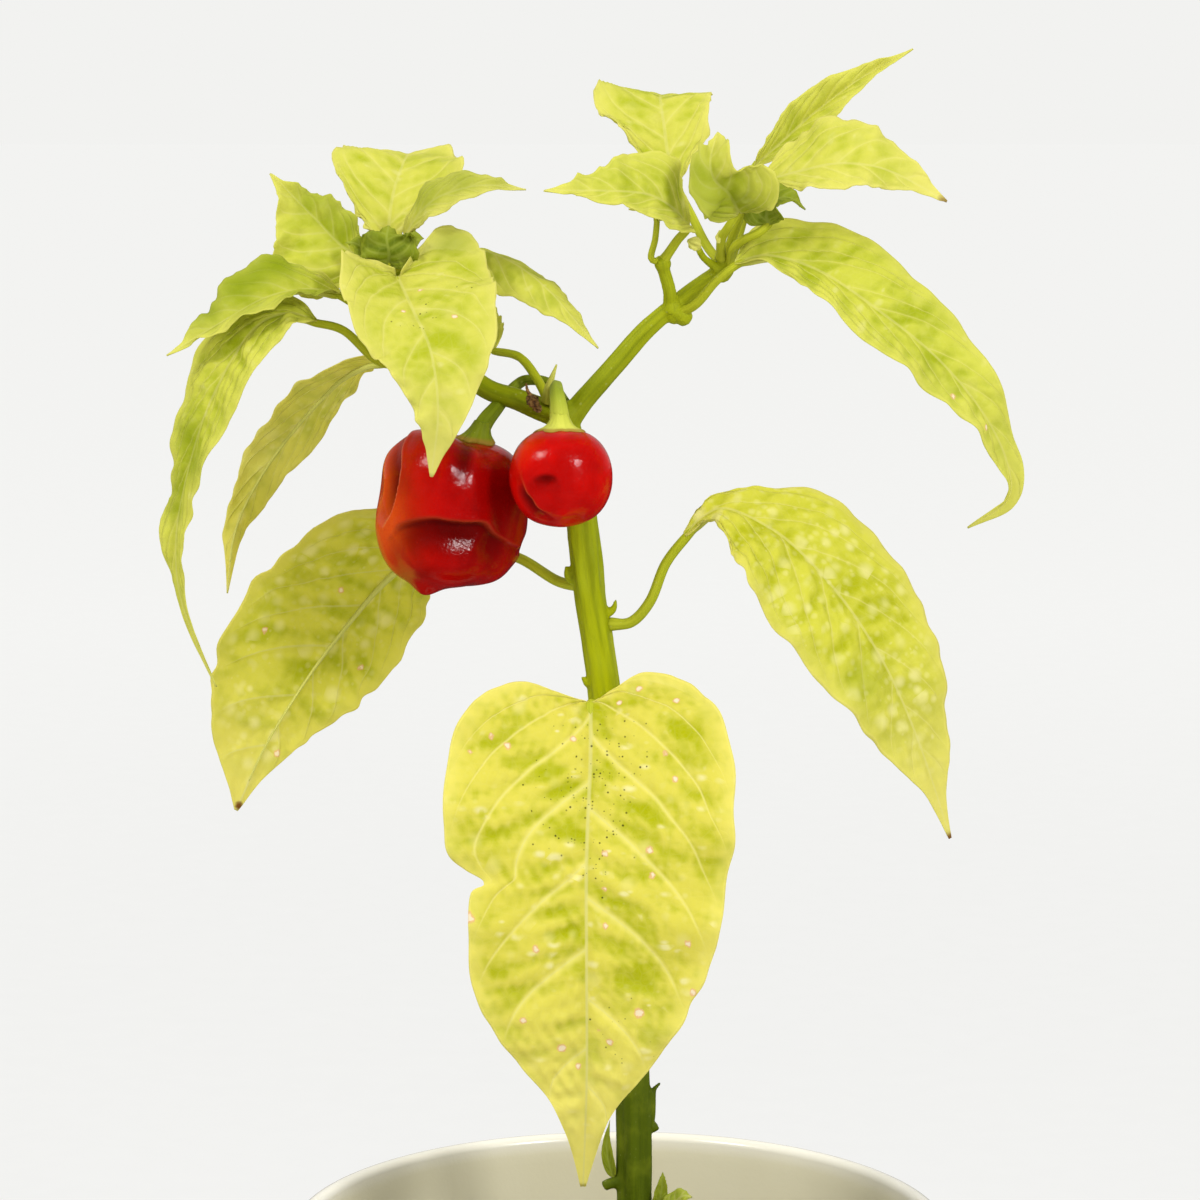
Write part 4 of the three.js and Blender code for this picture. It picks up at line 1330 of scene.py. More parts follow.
    def _half(self, path: Path, side: int, rows: int, columns: int) -> dict[str, Array]:
        """One half of the blade as named grids of rows by columns from the midrib.

        Args:
            path: The midrib.
            side: 0 for the left half, 1 for the right.
            rows: Rows from base to tip.
            columns: Columns from midrib to margin.

        Returns:
            The smooth points, the relief along their normals, and what materials read.
        """
        q = np.linspace(0, 1, rows + 1)[:, None]
        v = np.linspace(0, 1, columns + 1)[None, :]
        edge, _ = Path(self.outline[side].value, Ends.DOUBLED).at(q[:, 0])
        centre = q**ROW_SPREAD
        place = centre + (edge[:, :1] - centre) * v**MARGIN_BEND
        stray = 1 + self.ragged * ripples((q,), 0.07, 40 * self.seed + side) * np.sin(math.pi * q)
        width = np.maximum(edge[:, 1:], 0.01) * self.half_width[side] * stray
        point, heading = path.at(place)
        across = unit(np.cross(keyed(self.upper_face, place), heading))
        up = np.cross(heading, across)
        fold = np.radians(keyed(self.fold[side], place))
        curl = np.radians(keyed(self.curl[side], place))
        curl = np.where(np.abs(curl) < 1e-4, 1e-4, curl)
        reach = (np.sin(fold + curl * v) - np.sin(fold)) / curl
        rise = (np.cos(fold) - np.cos(fold + curl * v)) / curl
        height, waves, phase = self.wave
        calm = np.minimum(1, width / (0.3 * self.half_width[side]))
        wave = height * v**2 * np.sin(2 * math.pi * waves * place + phase) * calm
        wave = wave + 0.5 * height * v**5 * ripples((place,), 0.09, 60 * self.seed + side) * calm
        for lift in self.lifts:
            if lift.side == side:
                wave = wave + lift.height * v**4 * bump(place - lift.place, lift.reach)
        outwards = -1 if side == 0 else 1
        points = point + across * (outwards * reach * width)[..., None]
        points = points + up * (rise * width + wave)[..., None]
        across_mm = outwards * v * width
        along_mm = place * path.length
        phase, gap = self._veins(place, v, side, path.length)
        dome = np.sin(math.pi * (phase % 1)) ** 0.8 * smoothstep(1.0, 0.7, v)
        relief, pucker = self._relief(dome, across_mm, along_mm, v, calm, side)
        grids = {
            "points": points, "relief": relief, "pucker": pucker, "phase": phase, "gap": gap,
            "across_mm": across_mm, "along_mm": along_mm, "edge_mm": (1 - v) * width,
            "across_share": v + 0 * place, "toward_tip": place,
        }
        return grids | self._marks(across_mm, along_mm)

    def _veins(self, place: Array, v: Array, side: int, length: float) -> tuple[Array, Array]:
        """Counts side veins. A vein that starts at place p runs towards the tip by the
        rise times the way left to the tip; the rise grows with v and bends up near the
        margin. Solving for p and reading it on the scale of starts gives the phase.

        Args:
            place: Place along the midrib.
            v: Share of the way to the margin.
            side: 0 for the left half, 1 for the right.
            length: The midrib's length.

        Returns:
            The phase, whole on each vein, and the gap between two veins in millimetres.
        """
        random = np.random.default_rng(100 * self.seed + side)
        starts = (np.arange(self.veins) + 0.15 + 0.4 * side) / (self.veins + 0.4)
        starts = starts**1.12 * 0.92 + random.uniform(-0.02, 0.02, self.veins)
        before = starts[0] - np.array([0.6, 0.36, 0.17])
        starts = np.concatenate([before, starts, [1.02, 1.2]])
        rise = self.vein_rise * (0.8 * v + 0.3 * v**4)
        origin = (place - rise) / (1 - rise)
        phase = np.interp(origin, starts, np.arange(len(starts)))
        gaps = np.interp(phase, np.arange(len(starts) - 1) + 0.5, np.diff(starts))
        return phase, gaps * length * (1 - rise) * 0.75

    def _relief(
        self, dome: Array, across_mm: Array, along_mm: Array, v: Array, calm: Array, side: int
    ) -> tuple[Array, Array]:
        """The quilted skin: domes between the side veins, cross ripples that lean
        outwards and slow buckles, all calm near the margin and where the blade is slim.

        Args:
            dome: The swell between veins, up to 1.
            across_mm: Millimetres from the midrib.
            along_mm: Millimetres from the base.
            v: Share of the way to the margin.
            calm: Fades the relief where the blade is slim.
            side: 0 for the left half, 1 for the right.

        Returns:
            Heights in millimetres, and the cross ripples as a share from 0 to 1, which the
            blade's material reads to paint shade in the hollows and light on the swells.
        """
        seed = 10 * self.seed + side
        away = np.abs(across_mm)
        lean = along_mm - 0.3 * away
        cross = ripples((away / 3.2, lean), 6.5, seed)
        fine = ripples((away, lean), 3.4, seed + 500)
        slow = ripples((away, along_mm), 26.0, seed + 900)
        near_rib = smoothstep(0, 3.0, away)
        swell = near_rib * (0.9 * dome + 0.55 * cross * dome**0.5 + 0.2 * fine) - 0.36
        height = self.quilt * calm * ((1 - 0.6 * v**3) * swell + 0.9 * slow * v)
        return height, np.clip(0.5 + 0.3 * (cross * dome**0.5 + 0.4 * fine + 0.5 * slow), 0, 1)

    def _marks(self, across_mm: Array, along_mm: Array) -> dict[str, Array]:
        """Adds up the bells of all marks, kind by kind.

        Args:
            across_mm: Millimetres from the midrib.
            along_mm: Millimetres from the base.

        Returns:
            One grid for each kind of mark.
        """
        grids = {kind.value: np.zeros_like(along_mm) for kind in MarkKind}
        for mark in self.marks:
            away = np.hypot(across_mm - mark.across, along_mm - mark.along)
            grids[mark.kind.value] += mark.strength * bump(away, mark.radius)
        return {key: np.clip(grid, 0, 1) for key, grid in grids.items()}

    def rib(self) -> Surface:
        """The stalk, carried on under the blade as its thinning midrib.

        Returns:
            The closed tube, with how pale each point is.
        """
        path = Path(self.midrib)
        places = np.array(RIB_PLACES)
        point, heading = path.at(places)
        across = unit(np.cross(keyed(self.upper_face, places), heading))
        up = np.cross(heading, across)
        start, end = self.stalk_radius
        stalk_length = Path([*self.stalk, self.midrib[0]]).length
        rib_radii = end * np.interp(places, [0.03, 0.2, 0.5, 0.9], [0.85, 0.55, 0.32, 0.12])
        sunk = point - up * (rib_radii + 0.36 * self.quilt)[:, None]
        joint = np.asarray(self.midrib[0], float) - 0.8 * end * up[0]
        line = Path([*self.stalk, joint, *sunk])
        steps = np.concatenate([[0, 2.2 / line.length, stalk_length / line.length], places])
        steps[3:] = (stalk_length + places * path.length) / line.length
        radii = np.concatenate([[1.3 * start, start, end], rib_radii])
        radii = np.interp(np.linspace(0, 1, 41), steps, radii)
        skin = tube(line, radii, 10, 0.8, slot=STALK_SLOT)
        skin.values["pale"] = smoothstep(stalk_length, stalk_length + 8, skin.values["walked"])
        return skin

    def surfaces(self) -> list[Surface]:
        """The blade and its stalk."""
        return [self.blade(), self.rib()]


def both(value: object) -> tuple[object, object]:
    """The same value for the left and the right half."""
    return (value, value)


def marks(kind: MarkKind, *places: Sequence[float]) -> tuple[Mark, ...]:
    """Marks of one kind, each given as across, along, radius and perhaps strength."""
    return tuple(Mark(kind, *place) for place in places)


FRONT_LOW_MARKS = (
    *marks(
        MarkKind.SORE,
        (-21.9, 13.5, 1.1), (-4.7, 10.8, 1.0), (-26.3, 11.3, 0.9), (-31.9, 15.8, 1.0, 0.8),
        (13.1, -3.1, 1.0), (7.8, 0.8, 0.9), (23.1, 1.6, 1.1), (22.5, 20.9, 1.0), (19.7, 14.7, 0.9, 0.8),
        (16.4, 39.5, 1.2), (4.9, 40.7, 1.0), (17.2, 46.3, 1.0), (4.8, 49.9, 0.9, 0.8),
        (-13.3, 65.4, 1.1), (5.0, 59.6, 0.9), (-30.5, 57.1, 1.6), (13.7, 82.9, 1.5),
        (-6.6, 92.5, 1.4), (-2.2, 97.9, 1.0), (-16.7, 84.6, 1.0), (3.1, 87.9, 0.9, 0.6),
        (6.0, 90.8, 1.1), (26.4, 64, 1.1), (27.9, 77.6, 1.1),
    ),
    *marks(MarkKind.SPECKS, (3, 12, 8), (-2, 24, 10, 0.9), (5, 20, 7, 0.8), (2, 38, 8, 0.9), (8, 88, 7, 0.3)),
    *marks(MarkKind.DRY, (-34.7, 43.8, 2.5, 0.5), (0, 139, 4, 0.9)),
)

LEAVES = (
    Leaf(
        "leaf_front_low",
        ((-4, 0, 296), (-5, -6, 299), (-5, -13, 303)),
        ((-8, -20, 307), (-8, -28, 293), (-9, -36, 268), (-9, -38, 242), (-9, -35, 209), (-10, -28, 178)),
        ((0, -0.9, 0.5), (0, -1, 0.1), (0, -1, -0.1)), (38, 38),
        outline=(Outline.HEART_NICKED, Outline.HEART), fold=both((8, 4, 10)), curl=both((10, -10, -10)),
        wave=(0.8, 5, 0), stalk_radius=(1.7, 1.4), veins=5, vein_rise=0.36, quilt=0.85, ragged=0.01,
        marks=FRONT_LOW_MARKS, finish="low_leaf", seed=3,
    ),
    Leaf(
        "leaf_right_low",
        ((-3, 0, 325), (3, -2, 326), (8, -4, 332), (12, -5, 342)),
        ((17, -6, 350), (22, -7, 355), (29, -9, 357), (43, -13, 350), (56, -16, 337), (66, -18, 323),
         (73, -18, 310), (80, -16, 293), (88, -12, 269)),
        ((0, -0.45, 0.9), (0.35, -0.8, 0.55), (0.5, -0.85, 0.1)), (22, 23),
        outline=both(Outline.NARROW_NECK), fold=both((14, 8, 10)), curl=both((-20, -25, -10)),
        wave=(0.8, 5, 0), stalk_radius=(1.5, 1.3), veins=7, quilt=0.7,
        marks=marks(MarkKind.DRY, (0, 128, 5, 1.0)) + marks(MarkKind.DARK, (-9, 74, 6, 0.35)),
        finish="mottled_leaf", seed=5,
    ),
    Leaf(
        "leaf_left_low",
        ((-9, 0, 335), (-17, 6, 336), (-27, 14, 341), (-38, 24, 343), (-48, 32, 342)),
        ((-56, 36, 340), (-65, 38, 333), (-76, 38, 320), (-88, 34, 304), (-99, 28, 286), (-106, 22, 270)),
        ((-0.3, 0.7, 0.6), (-0.35, 0.9, 0.2), (-0.3, 0.95, 0)), (21, 31),
        outline=(Outline.OVATE, Outline.BROAD), fold=both((8, 6, 8)), curl=both((-15, -15, -10)),
        wave=(0.6, 5, 0), stalk_radius=(1.5, 1.3), veins=5, quilt=0.6,
        marks=marks(MarkKind.DRY, (0, 88, 1.8, 0.9))
        + marks(MarkKind.SORE, (8, 22, 1.0), (19, 44, 1.0), (-4, 70, 1.1), (-12, 36, 0.9)),
        finish="turned_leaf", seed=7,
    ),
    Leaf(
        "leaf_front_left",
        ((-60, 5, 416), (-60, 1, 417)),
        ((-59, -3, 418), (-54, -20, 410), (-49, -31, 400), (-47, -36, 385), (-49, -33, 368)),
        ((0.1, -0.5, 0.85), (0.05, -0.95, 0.3), (0, -1, -0.05)), (18, 23),
        outline=(Outline.LOBED, Outline.SHOULDERED), fold=both((22, 10, 15)), curl=both((0, -10, 0)),
        wave=(1.2, 4, 0), veins=4,
        marks=marks(MarkKind.SORE, (4, 12, 0.8), (-3, 20, 0.8), (9, 28, 0.9))
        + marks(MarkKind.SPECKS, (1, 24, 5, 0.6), (12, 20, 4, 0.4)) + marks(MarkKind.DARK, (16, -4, 6, 0.5)),
        lifts=(Lift(0, 0, 0.1, 2.5), Lift(0, 0.3, 0.06, 1.5), Lift(1, -0.08, 0.1, 3.5),
               Lift(1, 0.2, 0.08, -1.5)),
        finish="sunny_leaf", seed=11,
    ),
    Leaf(
        "leaf_left_droop",
        ((-50, 10, 399), (-59, 4, 395), (-65, 0, 396), (-73, -6, 404)),
        ((-80, -9, 407), (-88, -12, 409), (-97, -15, 404), (-107, -17, 387), (-113, -17, 370),
         (-117, -15, 352), (-117, -12, 336), (-113, -9, 322), (-108, -6, 309)),
        ((-0.2, -0.5, 0.85), (-0.75, -0.6, 0.25), (-0.8, -0.6, 0)), (13.2, 11.6),
        outline=both(Outline.TAILED), curl=both((-10, -20, 0)), wave=(0.8, 5, 0), veins=9, quilt=0.75,
        marks=marks(MarkKind.DARK, (-4, 50, 5, 0.5), (4, 57, 5, 0.6), (-3, 68, 5, 0.4)), seed=13,
    ),
    Leaf(
        "leaf_back_droop",
        ((-46, 10, 396), (-50, 18, 395), (-56, 27, 396)),
        ((-63, 34, 394), (-75, 40, 390), (-89, 44, 376), (-100, 42, 361), (-107, 38, 346), (-109, 34, 329)),
        ((-0.3, 0.5, 0.8), (-0.5, 0.8, 0.3), (-0.5, 0.85, 0)), (11, 9),
        outline=both(Outline.SLIM), fold=both((15, 15, 20)), curl=both((-10, -10, 0)), veins=7,
        quilt=0.4, marks=marks(MarkKind.PALE, (0, 20, 12, 0.25), (0, 45, 14, 0.25)),
        finish="turned_leaf", seed=17,
    ),
    Leaf(
        "leaf_left_out",
        ((-57, 10, 408), (-63, 6, 408), (-69, 0, 410)),
        ((-74, -4, 414), (-83, -8, 415), (-93, -12, 413), (-104, -14, 407), (-119, -14, 398)),
        ((0, -0.45, 0.9), (-0.2, -0.5, 0.8), (-0.5, -0.5, 0.7)), (13, 10),
        outline=both(Outline.SLIM), fold=both((20, 20, 10)), curl=both((10, 0, 0)), wave=(1, 4, 0),
        marks=marks(MarkKind.DARK, (9, 16, 4, 0.5), (-9, 14, 6, 0.8), (-8, 25, 7, 0.8), (-6, 38, 6, 0.7),
                    (6, 8, 6, 0.6), (5, 26, 5, 0.4)),
        seed=19,
    ),
    Leaf(
        "leaf_left_up",
        ((-62, 8, 419), (-65, 9, 420)),
        ((-67, 10, 421), (-75, 12, 426), (-82, 14, 433), (-88, 15, 439), (-94, 16, 445)),
        ((0.3, -0.8, 0.5), (0.3, -0.8, 0.5), (0.5, -0.7, 0.5)), (8.5, 21),
        outline=(Outline.SLIM, Outline.OVATE), fold=((35, 40, 40), (0, 5, 20)), wave=(1, 4, 0),
        veins=5, marks=marks(MarkKind.DARK, (-5, 12, 7, 0.5), (-5, 25, 7, 0.5)),
        seed=23,
    ),
    Leaf(
        "leaf_left_back",
        ((-61, 9, 420), (-62, 16, 421)),
        ((-63, 24, 424), (-63, 30, 432), (-62, 36, 440), (-60, 44, 447), (-59, 54, 450), (-61, 68, 448)),
        ((0, -0.9, 0.2), (0, -0.8, 0.5), (0, -0.1, 1)), (17, 19),
        outline=both(Outline.TOPPED), fold=both((15, 10, 0)), wave=(1, 4, 0), veins=5,
        lifts=(Lift(0, 0.5, 0.08, 3.5), Lift(1, 0.5, 0.1, -1.5)), finish="sunny_leaf", seed=29,
    ),
    Leaf(
        "leaf_left_crest",
        ((-60, 9, 421), (-59, 12, 425)),
        ((-58, 13, 428), (-54, 10, 434), (-48, 6, 439), (-37, 1, 442), (-25, -4, 441)),
        ((-0.3, -0.6, 0.8), (-0.2, -0.6, 0.8), (0, -0.6, 0.8)), (7, 6),
        outline=both(Outline.SLIM), fold=((0, 0, 10), (30, 25, 40)), wave=(0.5, 4, 0),
        quilt=0.4, marks=marks(MarkKind.DARK, (3, 12, 6, 0.5), (3, 24, 7, 0.5), (2.5, 36, 5, 0.35)),
        finish="sunny_leaf", seed=31,
    ),
    Leaf(
        "leaf_left_inner",
        ((-60, 9, 418), (-54, 14, 421)),
        ((-48, 18, 423), (-40, 17, 425), (-30, 13, 422), (-19, 7, 414), (-6, 1, 399)),
        ((0, -0.3, 0.95), (0.2, -0.4, 0.9), (0.4, -0.5, 0.7)), (11, 13),
        outline=both(Outline.SLIM), fold=both((-30, -25, -10)), wave=(0.5, 4, 0),
        seed=37,
    ),
    Leaf(
        "leaf_left_hidden",
        ((-19, 1, 384), (-22, 5, 390), (-27, 10, 396)),
        ((-34, 16, 398), (-40, 26, 402), (-46, 38, 408), (-51, 50, 414), (-54, 64, 420)),
        ((-0.3, -0.3, 0.9), (-0.1, 0, 1), (0, 0.3, 0.9)), (9, 6),
        fold=both((20, 15, 10)), wave=(0.5, 4, 0), quilt=0.4, seed=41,
    ),
    Leaf(
        "leaf_right_back",
        ((27, 5, 421), (23, 12, 426), (19, 16, 434)),
        ((15, 18, 442), (13, 22, 449), (12, 28, 457), (11, 36, 465), (12, 50, 466), (14, 66, 463)),
        ((0, -0.95, 0.3), (0, -0.9, 0.3), (0, -0.2, 1)), (14, 18),
        outline=(Outline.BOXY, Outline.TOPPED), fold=both((12, 5, 0)), veins=5,
        finish="sunny_leaf", seed=43,
    ),
    Leaf(
        "leaf_right_inner",
        ((11, -2, 422), (13, -4, 425), (15, -6, 428)),
        ((18, -8, 431), (14, -14, 436), (7, -18, 440), (-4, -22, 441), (-20, -24, 441)),
        ((-0.1, -0.7, 0.7), (-0.1, -0.8, 0.6), (0, -0.8, 0.6)), (13, 8),
        fold=both((10, 10, 25)), seed=47,
    ),
    Leaf(
        "leaf_right_centre",
        ((26.5, 1, 423), (26.5, -5, 428), (28.5, -10, 432)),
        ((31, -12, 435), (28, -18, 440), (24, -22, 444), (23, -22, 449), (25, -16, 456)),
        ((-0.3, -0.9, 0.2), (-0.3, -0.9, 0.2), (-0.2, -0.9, 0.2)), (14, 9),
        outline=(Outline.FLARED, Outline.OVATE), fold=((15, 20, 30), (25, 25, 30)), wave=(1, 3, 0),
        veins=5, marks=marks(MarkKind.DARK, (5, 8, 8, 0.55), (4, 18, 6, 0.35), (-3, 6, 5, 0.35)),
        seed=53,
    ),
    Leaf(
        "leaf_right_top",
        ((29, 6, 421), (32, 11, 430), (35, 14, 441)),
        ((36, 15, 447), (44, 16, 454), (52, 18, 461), (64, 17, 470), (78, 14, 478)),
        ((0.3, -0.8, 0.5), (0.3, -0.8, 0.5), (0.3, -0.7, 0.6)), (9, 6.5),
        outline=both(Outline.SLIM), fold=((50, 45, 40), (25, 30, 30)), wave=(0.6, 4, 0),
        quilt=0.4, seed=59,
    ),
    Leaf(
        "leaf_right_out",
        ((28, 5, 423), (31, 3, 432), (34, 0, 439)),
        ((37, -3, 443), (47, -8, 446), (58, -12, 448), (70, -13, 446), (85, -12, 438)),
        ((0, -0.6, 0.8), (0, -0.75, 0.65), (0, -0.8, 0.5)), (9, 17.5),
        outline=(Outline.SLIM, Outline.OVATE), fold=both((0, 0, 0)), veins=5,
        marks=marks(MarkKind.DRY, (0, 52, 3, 0.7)), finish="sunny_leaf", seed=61,
    ),
    Leaf(
        "leaf_right_droop",
        ((15, 2, 408), (20, -3, 411), (25, -6, 417)),
        ((30, -8, 422), (39, -11, 424), (52, -15, 420), (67, -19, 410), (82, -20, 398), (94, -19, 384),
         (101, -16, 371), (102, -12, 360), (92, -8, 352)),
        ((0.1, -0.6, 0.8), (0.35, -0.8, 0.5), (0.7, -0.6, -0.1)), (11, 17),
        outline=(Outline.SLIM, Outline.FULL_BASE), fold=both((10, 5, 20)), curl=both((0, -10, 0)),
        wave=(0.8, 5, 0), veins=8, quilt=0.55,
        marks=marks(MarkKind.SORE, (-5, 72, 0.9), (-3, 84, 0.9)), seed=67,
    ),
    Leaf(
        "leaf_right_young",
        ((29, 2, 422), (29.5, -5, 425.5), (32, -10, 428), (36, -12, 430)),
        ((38.5, -12, 432), (38, -13, 435), (40, -14, 438.5), (44, -15, 439), (48, -14, 436)),
        ((-0.4, -0.8, 0.4), (0.1, -0.5, 0.8), (0.6, -0.3, 0.7)), (6, 7),
        wave=(0.5, 3, 0), veins=5, quilt=0.35, finish="young_leaf", seed=71,
    ),
    Leaf(
        "leaf_right_small",
        ((11, -2, 422), (8, -4, 423), (9, -6, 428)),
        ((10, -7, 433), (9, -8, 435), (6, -9, 436), (2, -10, 436)),
        ((0, -0.3, 0.9), (0, -0.3, 0.9), (0, -0.3, 0.9)), (4, 4),
        wave=(0.3, 3, 0), stalk_radius=(0.9, 0.8), veins=4, quilt=0.25, seed=73,
    ),
)

LEFT_TUFT = (
    Leaf(
        "tuft_middle", ((-61, 6, 419), (-61.5, 4, 420)),
        ((-61.5, 3, 421.3), (-61.5, 0.6, 424.6), (-62, 0.4, 428.4), (-61.5, 2.4, 431.4)),
        ((0, -0.9, 0.4), (0, -0.8, 0.6), (0, -0.6, 0.8)), (8, 8),
        outline=both(Outline.BROAD), fold=both((25, 15, 0)), wave=(1.6, 3, 1), veins=4, ragged=0.07, seed=79,
    ),
    Leaf(
        "tuft_left", ((-61, 6, 419), (-63, 5, 420.5)),
        ((-64.5, 4, 421.5), (-67, 2.5, 424), (-70, 2, 426.5), (-73, 3, 427)),
        ((0.1, -0.8, 0.6), (0, -0.8, 0.6), (-0.2, -0.7, 0.7)), (5, 5),
        fold=both((25, 20, 10)), wave=(0.6, 3, 0), veins=4, quilt=0.3, seed=83,
    ),
    Leaf(
        "tuft_right", ((-61, 6, 419), (-59, 5, 421)),
        ((-57.5, 4, 423), (-56, 3, 426), (-54.5, 2, 427.8), (-54, 0.5, 426)),
        ((0, -0.8, 0.6), (0, -0.6, 0.8), (0.3, -0.8, 0.4)), (4, 5),
        fold=both((25, 20, 10)), wave=(0.5, 3, 0), veins=4, quilt=0.3, seed=89,
    ),
)


SHOOT_LEAVES = (
    Leaf(
        "shoot_upright", ((5, 0, 158), (8, -2, 160)),
        ((9.5, -3, 162.5), (10.6, -4, 166.5), (11.4, -4, 170.5), (11.6, -3, 174.4)),
        ((0.2, -0.9, 0.3), (0.1, -0.9, 0.3), (0, -0.7, 0.7)), (2.1, 2.1),
        outline=both(Outline.BROAD), fold=both((25, 20, 10)), wave=(0.3, 3, 0), stalk_radius=(0.9, 0.8),
        veins=4, quilt=0.2, finish="young_leaf", seed=97,
    ),
    Leaf(
        "shoot_side", ((6, -1, 159), (10, -4, 160.5)),
        ((12.5, -6, 162.5), (14.6, -7, 166.4), (16.9, -8, 169.2), (19.6, -8, 169)),
        ((-0.3, -0.8, 0.5), (0, -0.8, 0.6), (0.3, -0.8, 0.5)), (3.2, 3.2),
        outline=both(Outline.BROAD), fold=both((15, 10, 10)), wave=(0.5, 3, 0), stalk_radius=(0.9, 0.8),
        veins=4, quilt=0.2, finish="fresh_leaf", seed=101,
    ),
    Leaf(
        "shoot_narrow", ((3, 0, 170), (-0.6, -1, 171)),
        ((-1.8, -1, 172.5), (-3.2, -1.5, 177.5), (-3.6, -1.5, 183), (-2.8, -1, 188.4)),
        ((-0.1, -0.9, 0.3), (-0.1, -0.9, 0.3), (0, -0.9, 0.3)), (1.9, 1.9),
        fold=both((30, 25, 20)), wave=(0.2, 3, 0), stalk_radius=(0.8, 0.7), veins=4, quilt=0.1,
        finish="young_leaf", seed=103,
    ),
)


# ------------------------------------------------------------------------------ stem
@dataclass(frozen=True)
class Limb:
    """A stretch of stem.

    Attributes:
        points: Its middle line.
        radii: Evenly spaced radii along it.
    """

    points: tuple[Point, ...]
    radii: tuple[float, ...]


def fused(surfaces: Sequence[Surface], cell: float) -> Surface:
    """Melts overlapping closed surfaces into one skin on a cubic grid.

    Args:
        surfaces: The surfaces.
        cell: The grid's cell, in millimetres.

    Returns:
        The skin, without values or maps.
    """
    joint, _ = merged(surfaces)
    mesh = mesh_of("limbs", joint, 1.0)
    mesh.update(calc_edges=True)
    limbs = bpy.data.objects.new("limbs", mesh)
    bpy.context.scene.collection.objects.link(limbs)
    melt = limbs.modifiers.new("melt", "REMESH")
    melt.mode = "VOXEL"
    melt.voxel_size = cell
    bpy.context.view_layer.update()
    skin = bpy.data.meshes.new_from_object(limbs.evaluated_get(bpy.context.evaluated_depsgraph_get()))
    points = np.empty(3 * len(skin.vertices), np.float32)
    skin.vertices.foreach_get("co", points)
    corners = np.empty(len(skin.loops), np.int32)
    skin.loops.foreach_get("vertex_index", corners)
    sizes = np.empty(len(skin.polygons), np.int32)
    skin.polygons.foreach_get("loop_total", sizes)
    bpy.data.objects.remove(limbs)
    bpy.data.meshes.remove(mesh)
    bpy.data.meshes.remove(skin)
    return Surface(points.reshape(-1, 3).astype(float), corners, sizes)


